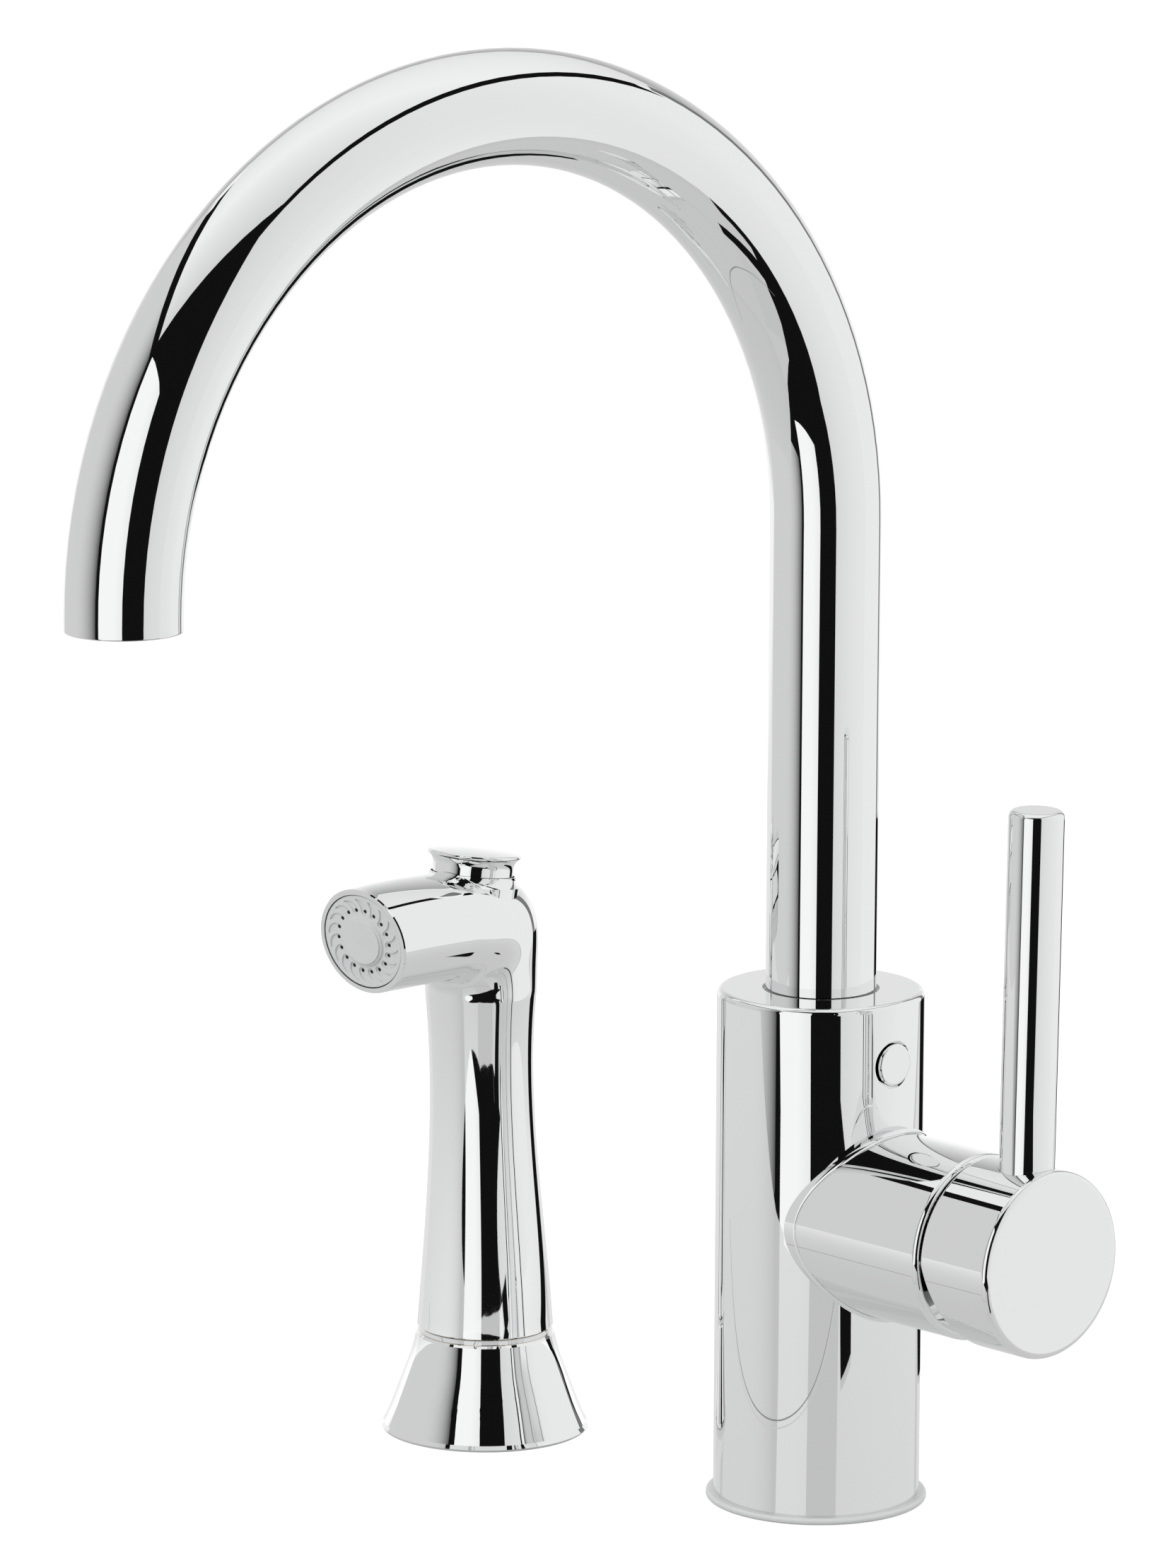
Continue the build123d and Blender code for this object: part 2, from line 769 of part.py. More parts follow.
export_step(cartridge_rotor.part, "parts/cartridge_rotor.step")

# ---- Cartridge: hinge pin of the spindle ----
with BuildPart() as spindle_pin:
    rod(pin_plane.offset(-pin_half_length), pin_radius, 2 * pin_half_length)
spindle_pin.part.label = "spindle_pin"
export_step(spindle_pin.part, "parts/spindle_pin.step")

# ---- Spindle: ball, neck, round middle and square end for the cap ----
square_start = cap_ceiling - square_lead
square_end = cap_ceiling + square_grip
with BuildPart() as mixer_spindle:
    with Locations((ball_x, 0, handle_height)):
        Sphere(ball_radius)
    rod(handle_plane(ball_x), ball_neck_radius, pivot_x - spindle_radius - ball_x)
    rod(
        handle_plane(pivot_x - spindle_radius),
        spindle_radius,
        square_start - pivot_x + spindle_radius,
    )
    with BuildSketch(handle_plane(square_start)) as square_outline:
        Rectangle(spindle_square, spindle_square)
    extrude(square_outline.sketch, amount=square_end - square_start)
    drill(
        pin_plane.offset(-spindle_radius),
        pin_radius + running_clearance,
        2 * spindle_radius,
    )
mixer_spindle.part.label = "mixer_spindle"
export_step(mixer_spindle.part, "parts/mixer_spindle.step")

# ---- Nut that holds the cartridge down ----
with BuildPart() as cartridge_nut:
    ring(
        handle_plane(pocket_shoulder),
        nut_bore_radius - seat_clearance,
        nut_opening_radius,
        nut_length,
    )
    with BuildSketch(handle_plane(nut_face)) as nut_slots:
        Rectangle(2 * nut_bore_radius, nut_slot_width)
        Rectangle(nut_slot_width, 2 * nut_bore_radius)
    extrude(nut_slots.sketch, amount=-nut_length / 2, mode=Mode.SUBTRACT)
cartridge_nut.part.label = "cartridge_nut"
export_step(cartridge_nut.part, "parts/cartridge_nut.step")

# ---- Bright dome behind the handle's cap, round the tilting centre ----
skirt_radius = nut_bore_radius - seat_clearance
dome_meets_skirt = pivot_x + sqrt(dome_radius**2 - skirt_radius**2)
dome_front = pivot_x + sqrt(dome_radius**2 - dome_opening_radius**2)
inner_dome_radius = dome_radius - dome_wall
with BuildPart() as valve_dome:
    with BuildSketch(Plane.XZ) as dome_outline:
        with Locations((pivot_x, handle_height)):
            Circle(dome_radius)
            Circle(inner_dome_radius, mode=Mode.SUBTRACT)
        with Locations((dome_meets_skirt, handle_height)):
            Rectangle(
                dome_front - dome_meets_skirt,
                dome_radius,
                align=(Align.MIN, Align.MIN),
                mode=Mode.INTERSECT,
            )
    revolve(dome_outline.sketch, axis=handle_axis)
    ring(
        handle_plane(nut_face),
        skirt_radius,
        skirt_radius - dome_wall,
        dome_meets_skirt - nut_face,
    )
    drill(handle_plane(nut_face), dome_opening_radius, 2 * dome_radius)
valve_dome.part.label = "valve_dome"
export_step(valve_dome.part, "parts/valve_dome.step")

# ---- Handle cap: its lower rear rim is slanted so that the handle can tilt out ----
with BuildPart() as handle_cap:
    rod(handle_plane(cap_rear), housing_radius, cap_end - cap_rear)
    fillet(handle_cap.edges().filter_by(GeomType.CIRCLE).sort_by(Axis.X)[-1], cap_front_edge)
    wedge_depth = housing_radius + cut_over
    wedge_reach = cap_rear + wedge_depth * tan(radians(flow_tilt + wedge_spare))
    with BuildSketch(Plane.XZ) as wedge_outline:
        with BuildLine():
            Polyline(
                (cap_rear, handle_height),
                (cap_rear - cut_over, handle_height),
                (cap_rear - cut_over, handle_height - wedge_depth),
                (wedge_reach, handle_height - wedge_depth),
                close=True,
            )
        make_face()
    extrude(wedge_outline.sketch, amount=wedge_depth, both=True, mode=Mode.SUBTRACT)
    rim_edges = handle_cap.edges().filter_by_position(Axis.X, cap_rear - edge_search, wedge_reach)
    fillet(rim_edges.filter_by(GeomType.LINE, reverse=True), cap_rear_edge)
    drill(handle_plane(cap_rear - cut_over), cap_inner_radius, cap_ceiling - cap_rear + cut_over)
    with BuildSketch(handle_plane(cap_ceiling)) as square_socket:
        Rectangle(spindle_square, spindle_square)
    extrude(
        square_socket.sketch,
        amount=square_end - cap_ceiling + seat_clearance,
        mode=Mode.SUBTRACT,
    )
    drill(lever_plane.offset(lever_foot), lever_radius + running_clearance, housing_radius)
    drill(lever_plane.offset(lever_foot - tenon_length), tenon_radius, tenon_length)
    grip_plane = Plane(origin=(grip_screw_x, 0, handle_height), z_dir=(0, 0, -1))
    drill(grip_plane, grip_screw_radius, housing_radius)
handle_cap.part.label = "handle_cap"
export_step(handle_cap.part, "parts/handle_cap.step")

# ---- Lever rod, leaning slightly outwards ----
lever_length = lever_height / cos(radians(lever_lean)) - lever_foot
with BuildPart() as lever_rod:
    rod(lever_plane.offset(lever_foot), lever_radius, lever_length)
    fillet(lever_rod.edges().filter_by(GeomType.CIRCLE).sort_by(Axis.Z)[-1], lever_edge)
    rod(lever_plane.offset(lever_foot - tenon_length), tenon_radius, tenon_length)
lever_rod.part.label = "lever_rod"
export_step(lever_rod.part, "parts/lever_rod.step")

# ---- Grub screw that grips the spindle, and the plug below it ----
with BuildPart() as handle_grub_screw:
    rod(grip_plane.offset(spindle_square / 2), grip_screw_radius, grip_screw_length)
    hex_socket(
        grip_plane.offset(spindle_square / 2 + grip_screw_length), grip_screw_radius, key_depth
    )
handle_grub_screw.part.label = "handle_grub_screw"
export_step(handle_grub_screw.part, "parts/handle_grub_screw.step")

with BuildPart() as handle_screw_plug:
    rod(
        grip_plane.offset(housing_radius - grip_plug_length),
        grip_screw_radius,
        grip_plug_length,
    )
handle_screw_plug.part.label = "handle_screw_plug"
export_step(handle_screw_plug.part, "parts/handle_screw_plug.step")

# ---- Diverter: cage in the body, under the spout ----
cage_radius = diverter_radius - seat_clearance
cage_inner_radius = cage_radius - cage_wall
with BuildPart() as diverter_cage:
    ring(
        Plane.XY.offset(diverter_ledge),
        cage_radius,
        cage_inner_radius,
        socket_floor - diverter_ledge,
    )
    ring(Plane.XY.offset(diverter_ledge), cage_radius, cage_floor_opening, cage_floor)
    ring(Plane.XY.offset(seat_height), cage_radius, seat_opening, seat_web)
    drill(
        Plane(origin=(0, 0, diverter_port_height), z_dir=(-1, 0, 0)),
        diverter_port_radius,
        cage_radius,
    )
diverter_cage.part.label = "diverter_cage"
export_step(diverter_cage.part, "parts/diverter_cage.step")

# ---- Diverter: piston with a drilled skirt ----
skirt_foot = diverter_ledge + cage_floor + diverter_spring_length
seal_foot = seat_height + seat_web + diverter_travel
with BuildPart() as diverter_piston:
    rod(
        Plane.XY.offset(skirt_foot),
        cage_inner_radius - running_clearance,
        piston_skirt,
    )
    with BuildSketch(Plane.XY.offset(skirt_foot)) as flow_holes:
        with PolarLocations(flow_hole_circle, flow_hole_count):
            Circle(flow_hole_radius)
    extrude(flow_holes.sketch, amount=piston_skirt, mode=Mode.SUBTRACT)
    rod(
        Plane.XY.offset(skirt_foot),
        piston_stem_radius,
        seal_foot + piston_seal_thickness - skirt_foot,
    )
    rod(
        Plane.XY.offset(seal_foot + piston_seal_thickness),
        cage_inner_radius - moving_gap,
        piston_head,
    )
diverter_piston.part.label = "diverter_piston"
export_step(diverter_piston.part, "parts/diverter_piston.step")

with BuildPart() as piston_seal:
    ring(
        Plane.XY.offset(seal_foot),
        cage_inner_radius - 2 * moving_gap,
        piston_stem_radius,
        piston_seal_thickness,
    )
piston_seal.part.label = "piston_seal"
export_step(piston_seal.part, "parts/piston_seal.step")

# ---- Diverter: spring under the skirt ----
with BuildPart() as diverter_spring:
    spring(
        Plane.XY.offset(diverter_ledge + cage_floor),
        cage_inner_radius - 2 * diverter_wire,
        diverter_spring_length,
        diverter_spring_pitch,
        diverter_wire,
    )
diverter_spring.part.label = "diverter_spring"
export_step(diverter_spring.part, "parts/diverter_spring.step")

# ---- Aerator in the spout's tip: wide in the straight end, narrower in the bend ----
tip_plane = Plane(origin=tip_point, z_dir=(0, 0, 1))
housing_plane = tip_plane.offset(aerator_recess)
aerator_collar = spout_drop - aerator_recess
aerator_neck_radius = spout_inner_radius - aerator_neck_gap
with BuildPart() as aerator_housing:
    ring(housing_plane, spout_inner_radius, aerator_inner_radius, aerator_collar)
    ring(housing_plane, aerator_neck_radius, aerator_inner_radius, aerator_length)
aerator_housing.part.label = "aerator_housing"
export_step(aerator_housing.part, "parts/aerator_housing.step")

core_plane = housing_plane.offset(aerator_core_recess)
with BuildPart() as aerator_core:
    rod(core_plane, aerator_inner_radius, aerator_core_length)
    with BuildSketch(core_plane) as jet_holes:
        Circle(aerator_hole_radius)
        for circle_radius, hole_count in aerator_hole_circles:
            with PolarLocations(circle_radius, hole_count):
                Circle(aerator_hole_radius)
    extrude(jet_holes.sketch, amount=aerator_core_length, mode=Mode.SUBTRACT)
aerator_core.part.label = "aerator_core"
export_step(aerator_core.part, "parts/aerator_core.step")

screen_plane = core_plane.offset(aerator_core_length)
with BuildPart() as aerator_screen:
    rod(screen_plane, aerator_inner_radius, screen_thickness)
    with BuildSketch(screen_plane) as screen_holes:
        with GridLocations(screen_pitch, screen_pitch, screen_count, screen_count):
            Rectangle(screen_gap, screen_gap)
        Circle(aerator_inner_radius - screen_rim, mode=Mode.INTERSECT)
    extrude(screen_holes.sketch, amount=screen_thickness, mode=Mode.SUBTRACT)
aerator_screen.part.label = "aerator_screen"
export_step(aerator_screen.part, "parts/aerator_screen.step")

with BuildPart() as aerator_washer:
    ring(
        housing_plane.offset(aerator_length),
        aerator_neck_radius,
        aerator_inner_radius - aerator_washer_thickness,
        aerator_washer_thickness,
    )
aerator_washer.part.label = "aerator_washer"
export_step(aerator_washer.part, "parts/aerator_washer.step")

# ---- Spray holder: flared cone that stands on the deck beside the faucet ----
holder_foot = holder_gasket_thickness
holder_shoulder = holder_height - holder_top_edge
with BuildPart() as spray_holder:
    with BuildSketch(spray_side) as holder_outline:
        with BuildLine():
            Line((liner_radius, holder_foot), (holder_radius, holder_foot))
            Line((holder_radius, holder_foot), (holder_lip_radius, holder_lip_height))
            Spline(
                (holder_lip_radius, holder_lip_height),
                (holder_flare_radius, holder_flare_height),
                (holder_middle_radius, holder_middle_height),
                (holder_neck_radius, holder_neck_height),
                (holder_top_radius, holder_shoulder),
            )
            Polyline(
                (holder_top_radius, holder_shoulder),
                (holder_top_radius - holder_top_edge, holder_height),
                (liner_radius, holder_height),
                (liner_radius, holder_foot),
            )
        make_face()
    revolve(holder_outline.sketch, axis=spray_axis)
spray_holder.part.label = "spray_holder"
export_step(spray_holder.part, "parts/spray_holder.step")

with BuildPart() as holder_gasket:
    ring(
        spray_plane(0),
        holder_radius - holder_gasket_inset,
        liner_bore,
        holder_gasket_thickness,
    )
holder_gasket.part.label = "holder_gasket"
export_step(holder_gasket.part, "parts/holder_gasket.step")

# ---- Plastic sleeve in the holder ----
with BuildPart() as holder_liner:
    ring(spray_plane(holder_foot), liner_radius, liner_bore, holder_height - holder_foot)
holder_liner.part.label = "holder_liner"
export_step(holder_liner.part, "parts/holder_liner.step")

# ---- Coupling between the hose and the hand spray ----
coupling_seal_height = flange_top + coupling_seal_rise
with BuildPart() as hose_coupling:
    rod(
        spray_plane(coupling_shank_foot),
        coupling_shank_radius,
        holder_height - coupling_shank_foot,
    )
    rod(spray_plane(holder_height), coupling_flange_radius, coupling_flange)
    rod(spray_plane(flange_top), coupling_spigot_radius, coupling_spigot_length)
    drill(spray_plane(coupling_shank_foot), coupling_bore, spigot_top)
    drill(spray_plane(coupling_shank_foot), hose_tap_radius, hose_tap_depth)
    ring(
        spray_plane(coupling_seal_height - coupling_seal_thickness),
        coupling_spigot_radius + cut_over,
        coupling_spigot_radius - 2 * coupling_seal_thickness,
        2 * coupling_seal_thickness,
        Mode.SUBTRACT,
    )
hose_coupling.part.label = "hose_coupling"
export_step(hose_coupling.part, "parts/hose_coupling.step")

with BuildPart() as coupling_seal:
    with Locations((spray_x, spray_y, coupling_seal_height)):
        Torus(coupling_spigot_radius - coupling_seal_thickness, coupling_seal_thickness)
coupling_seal.part.label = "coupling_seal"
export_step(coupling_seal.part, "parts/coupling_seal.step")

# ---- Hand spray: outline of the shell, front and back, on its middle line ----
face_low = (
    face_reach - head_radius * sin(radians(face_tilt)),
    face_height - head_radius * cos(radians(face_tilt)),
)
face_high = (
    face_reach + head_radius * sin(radians(face_tilt)),
    face_height + head_radius * cos(radians(face_tilt)),
)
head_start = bend_point(bend_depth(90), 90)

with BuildLine() as wand_front:
    Spline(
        (wand_foot_radius, wand_foot),
        (wand_middle_shift + wand_middle_radius, wand_middle_height),
        (wand_waist_shift + wand_waist_radius, wand_waist_height),
        bend_point(throat_radius, 0),
    )
with BuildLine() as wand_back:
    Spline(
        (-wand_foot_radius, wand_foot),
        (wand_middle_shift - wand_middle_radius, wand_middle_height),
        (wand_waist_shift - wand_waist_radius, wand_waist_height),
        bend_point(bend_depth(0), 0),
    )
with BuildLine() as head_front:
    Line(bend_point(throat_radius, 90), face_low)
with BuildLine() as head_back:
    ThreePointArc(
        head_start,
        (
            (head_start[0] + face_high[0]) / 2,
            (head_start[1] + face_high[1]) / 2 + head_crown,
        ),
        face_high,
    )


def round_station(front, back, wall):
    """Circle of three arcs whose diameter runs from a front to a back point, less a wall."""
    across = Vector(back[0] - front[0], back[1] - front[1], 0)
    at = tilted_plane(
        (front[0] + back[0]) / 2,
        (front[1] + back[1]) / 2,
        across.Y / across.length,
        -across.X / across.length,
    )
    with BuildSketch(at) as section:
        with BuildLine():
            for start_angle in (0, 120, 240):
                CenterArc((0, 0), across.length / 2 - wall, start_angle, 120)
        make_face()
    return section.sketch


def straight_stations(front, back, steps, wall):
    """Round sections between a front and a back line, at even shares of both."""
    shares = [index / steps for index in range(steps + 1)]
    points = [(front.edge() @ share, back.edge() @ share) for share in shares]
    return [round_station((low.X, low.Y), (high.X, high.Y), wall) for low, high in points]


def bend_stations(wall):
    """Round sections round the throat's centre, every few degrees."""
    angles = range(bend_step, 90, bend_step)
    return [
        round_station(bend_point(throat_radius, angle), bend_point(bend_depth(angle), angle), wall)
        for angle in angles
    ]


def wand_form(wall, mode=Mode.ADD):
    """The hand spray's smooth body, from its foot round the bend to its face."""
    grip = straight_stations(wand_front, wand_back, grip_steps, wall)
    head = straight_stations(head_front, head_back, head_steps, wall)
    loft(grip + bend_stations(wall) + head, mode=mode)


def button_side_plane():
    """Plane through the button's axis: X across the spray, Y along the axis."""
    at = button_plane(0)
    return Plane(origin=at.origin, x_dir=at.x_dir, z_dir=at.x_dir.cross(at.z_dir))


button_axis = Axis(button_plane(0).origin, button_plane(0).z_dir)
button_hole_radius = button_neck_radius + moving_gap
end_ring_foot = wand_foot + end_ring_recess
end_ring_top = end_ring_foot + end_ring_thickness
end_ring_radius = wand_foot_radius - end_ring_wall

with BuildPart() as wand_shell:
    wand_form(0)
    # Flared collar that the button slides in
    with BuildSketch(button_side_plane()) as collar_outline:
        with BuildLine():
            Polyline(
                (button_neck_radius - cut_over, valve_roof / 2),
                (collar_radius, valve_roof / 2),
                (collar_radius, 0),
            )
            ThreePointArc(
                (collar_radius, 0),
                (button_hole_radius + collar_waist_wall, collar_waist_height),
                (button_hole_radius + collar_lip, collar_height),
            )
            Polyline(
                (button_hole_radius + collar_lip, collar_height),
                (button_neck_radius - cut_over, collar_height),
                (button_neck_radius - cut_over, valve_roof / 2),
            )
        make_face()
    revolve(collar_outline.sketch, axis=button_axis)
    drill(button_plane(collar_height), button_hole_radius, button_flange_height)
    wand_form(wand_wall, Mode.SUBTRACT)
    drill(button_plane(valve_foot / 2), button_hole_radius, button_flange_height - valve_foot / 2)
    drill(face_plane(face_seat_depth), face_seat_radius, 2 * face_seat_depth)
    drill(spray_plane(wand_foot), end_ring_radius + seat_clearance, end_ring_top - wand_foot)
wand_shell.part.label = "wand_shell"
export_step(wand_shell.part, "parts/wand_shell.step")

# ---- Ring that closes the wand's foot round the coupling ----
with BuildPart() as wand_end_ring:
    ring(
        spray_plane(end_ring_foot),
        end_ring_radius,
        coupling_spigot_radius + moving_gap,
        end_ring_thickness,
    )
wand_end_ring.part.label = "wand_end_ring"
export_step(wand_end_ring.part, "parts/wand_end_ring.step")

# ---- Inner waterway of the hand spray with the valve's seat ----
chamber_wall_reach = (valve_inner_radius + valve_outer_radius) / 2
duct_start = Vector(*button_point(valve_outlet))
duct_run = Vector(*face_point(flange_depth, duct_drop)) - duct_start
duct_length = duct_run.length - chamber_wall_reach
duct_plane = tilted_plane(
    duct_start.X,
    duct_start.Y,
    duct_run.X / duct_run.length,
    duct_run.Y / duct_run.length,
).offset(chamber_wall_reach)
riser_top = button_seat_height + valve_seat - valve_seat_web
riser_reach = button_reach - riser_offset
riser_plane = Plane(origin=spray_side.from_local_coords((riser_reach, socket_top, 0)))
with BuildPart() as wand_waterway:
    rod(spray_plane(end_ring_top), socket_outer_radius, socket_top + riser_cap - end_ring_top)
    rod(riser_plane, riser_radius, riser_top - socket_top)
    rod(button_plane(valve_foot), valve_outer_radius, valve_roof - valve_foot)
    rod(duct_plane, duct_radius, duct_length - flange_plate / 2)
    rod(face_plane(face_seat_depth), face_seat_radius - seat_clearance, flange_plate)
    drill(
        spray_plane(end_ring_top),
        coupling_spigot_radius + running_clearance,
        socket_top - end_ring_top,
    )
    drill(riser_plane, riser_bore, riser_top - riser_cap - socket_top)
    drill(button_plane(inlet_foot), valve_inner_radius, valve_seat - valve_seat_web - inlet_foot)
    drill(button_plane(valve_seat - valve_seat_web), valve_seat_opening, valve_seat_web)
    chamber_roof = valve_roof - valve_roof_thickness
    drill(button_plane(valve_seat), valve_inner_radius, chamber_roof - valve_seat)
    drill(
        button_plane(chamber_roof),
        valve_stem_radius + running_clearance,
        valve_roof_thickness,
    )
    drill(duct_plane.offset(-valve_outer_radius / 4), duct_bore, duct_length + valve_outer_radius)
    drill(face_plane(face_seat_depth), face_screw_radius, flange_plate)
wand_waterway.part.label = "wand_waterway"
export_step(wand_waterway.part, "parts/wand_waterway.step")

# ---- Spray face with its nozzles, each in a comma-shaped hollow ----
swirl_tip = (
    swirl_outer_circle * cos(radians(swirl_sweep)),
    swirl_outer_circle * sin(radians(swirl_sweep)),
)
swirl_low = (nozzle_circle, -swirl_dish_radius)
swirl_high = (nozzle_circle, swirl_dish_radius)
swirl_long_middle = (nozzle_circle + swirl_long_bow[0], swirl_long_bow[1])
swirl_short_middle = (nozzle_circle + swirl_short_bow[0], swirl_short_bow[1])
with BuildPart() as spray_face:
    rod(face_plane(face_recess + face_thickness), face_radius, face_thickness)
    with BuildSketch(mode=Mode.PRIVATE) as swirl:
        with BuildLine():
            ThreePointArc(swirl_low, swirl_long_middle, swirl_tip)
            ThreePointArc(swirl_tip, swirl_short_middle, swirl_high)
            ThreePointArc(swirl_high, (nozzle_circle - swirl_dish_radius, 0), swirl_low)
        make_face()
    with BuildSketch(face_plane(face_recess)) as swirls:
        with PolarLocations(0, nozzle_count):
            add(swirl.sketch)
    extrude(swirls.sketch, amount=-swirl_depth, mode=Mode.SUBTRACT)
    with BuildSketch(face_plane(face_recess)) as nozzles:
        with PolarLocations(nozzle_circle, nozzle_count):
            Circle(nozzle_radius)
    extrude(nozzles.sketch, amount=-face_thickness, mode=Mode.SUBTRACT)
    drill(
        face_plane(face_recess + face_thickness),
        face_screw_radius + seat_clearance,
        face_thickness,
    )
    drill(
        face_plane(face_recess + face_screw_well),
        face_screw_head_radius + seat_clearance,
        face_screw_well,
    )
spray_face.part.label = "spray_face"
export_step(spray_face.part, "parts/spray_face.step")

# ---- Screw that holds the face, and the round cap over it ----
screw_seat = face_recess + face_screw_well
face_screw_length = face_seat_depth - screw_seat
with BuildPart() as face_screw:
    rod(face_plane(screw_seat), face_screw_head_radius, face_screw_head)
    rod(
        face_plane(screw_seat + face_screw_length),
        face_screw_radius,
        face_screw_length,
    )
    hex_socket(
        face_plane(screw_seat - face_screw_head), face_screw_head_radius, face_key_depth
    )
face_screw.part.label = "face_screw"
export_step(face_screw.part, "parts/face_screw.step")

with BuildPart() as face_cap:
    rod(face_plane(face_recess), boss_radius, boss_height / 2)
    rod(face_plane(face_recess), boss_step_radius, boss_height)
face_cap.part.label = "face_cap"
export_step(face_cap.part, "parts/face_cap.step")

# ---- Rubber ring between the face and the waterway's flange ----
with BuildPart() as face_seal:
    ring(
        face_plane(flange_depth),
        face_radius,
        face_radius - face_seal_width,
        flange_depth - face_recess - face_thickness,
    )
face_seal.part.label = "face_seal"
export_step(face_seal.part, "parts/face_seal.step")

# ---- Thumb button of the hand spray ----
button_cavity_radius = button_neck_radius - button_wall
flange_under = button_flange_height - button_edge
button_rim = button_flange_height + button_edge
flare_start = flange_under - button_flare
flare_middle = (
    button_neck_radius + flare_share_out * (button_flange_radius - button_neck_radius),
    flare_start + flare_share_up * button_flare,
)
with BuildPart() as thumb_button:
    with BuildSketch(button_side_plane()) as button_outline:
        with BuildLine():
            Line((button_neck_radius, button_foot), (button_neck_radius, flare_start))
            ThreePointArc(
                (button_neck_radius, flare_start),
                flare_middle,
                (button_flange_radius - button_edge / 3, flange_under),
            )
            ThreePointArc(
                (button_flange_radius - button_edge / 3, flange_under),
                (button_flange_radius, button_flange_height),
                (button_flange_radius - button_edge, button_rim),
            )
            TangentArc(
                (0, button_rim + button_dome),
                (button_flange_radius - button_edge, button_rim),
                tangent=(1, 0),
            )
            Polyline(
                (0, button_rim + button_dome),
                (0, button_ceiling),
                (button_cavity_radius, button_ceiling),
                (button_cavity_radius, button_foot),
                (button_neck_radius, button_foot),
            )
        make_face()
    revolve(button_outline.sketch, axis=button_axis)
thumb_button.part.label = "thumb_button"
export_step(thumb_button.part, "parts/thumb_button.step")

# ---- Valve stem pushed by the button, and its rubber washer ----
with BuildPart() as valve_stem:
    rod(button_plane(washer_foot - stem_nut_thickness), stem_nut_radius, stem_nut_thickness)
    rod(button_plane(washer_foot), valve_stem_radius, button_ceiling - washer_foot)
valve_stem.part.label = "valve_stem"
export_step(valve_stem.part, "parts/valve_stem.step")

with BuildPart() as valve_washer:
    ring(
        button_plane(washer_foot),
        valve_inner_radius - moving_gap,
        valve_stem_radius,
        valve_washer_thickness,
    )
valve_washer.part.label = "valve_washer"
export_step(valve_washer.part, "parts/valve_washer.step")

# ---- Spring under the button ----
with BuildPart() as button_spring:
    spring(
        button_plane(valve_roof),
        button_spring_radius,
        button_ceiling - valve_roof,
        button_spring_pitch,
        button_wire,
    )
button_spring.part.label = "button_spring"
export_step(button_spring.part, "parts/button_spring.step")
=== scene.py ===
"""Side spray kitchen faucet: finishes, fine detail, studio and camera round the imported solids.

Everything is in metres in the solids' own frame: the origin is on the body's axis at deck
level, +Z is up, the spout reaches towards -Y and the lever is on +X.
"""

import logging
import math
from dataclasses import dataclass, field, replace
from enum import Enum

import bmesh
import bpy
from mathutils import Matrix, Vector
from mathutils.bvhtree import BVHTree


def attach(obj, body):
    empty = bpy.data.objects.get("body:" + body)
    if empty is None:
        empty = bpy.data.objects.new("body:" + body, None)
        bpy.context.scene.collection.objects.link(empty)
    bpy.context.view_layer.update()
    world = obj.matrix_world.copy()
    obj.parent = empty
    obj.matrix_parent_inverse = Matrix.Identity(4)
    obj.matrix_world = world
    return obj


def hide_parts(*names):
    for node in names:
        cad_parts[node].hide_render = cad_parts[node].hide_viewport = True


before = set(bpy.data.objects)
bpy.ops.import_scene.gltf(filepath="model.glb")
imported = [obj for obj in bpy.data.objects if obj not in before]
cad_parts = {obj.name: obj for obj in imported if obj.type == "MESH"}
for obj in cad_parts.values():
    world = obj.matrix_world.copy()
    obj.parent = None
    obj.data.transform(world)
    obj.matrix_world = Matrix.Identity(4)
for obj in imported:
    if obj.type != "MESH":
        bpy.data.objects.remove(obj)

LOG = logging.getLogger("faucet")
MM = 0.001
SHARP_ANGLE = math.radians(35.0)
MERGE_DISTANCE = 1e-7
GRAIN_SPAN = (0.3, 0.7)
WHITE = (1.0, 1.0, 1.0, 1.0)


class Pattern(Enum):
    """How the fine relief of a finish runs over a piece."""

    CAST = "cast"
    DRAWN = "drawn"
    TURNED_X = "turned_x"
    TURNED_Z = "turned_z"


# ---- Node trees ------------------------------------------


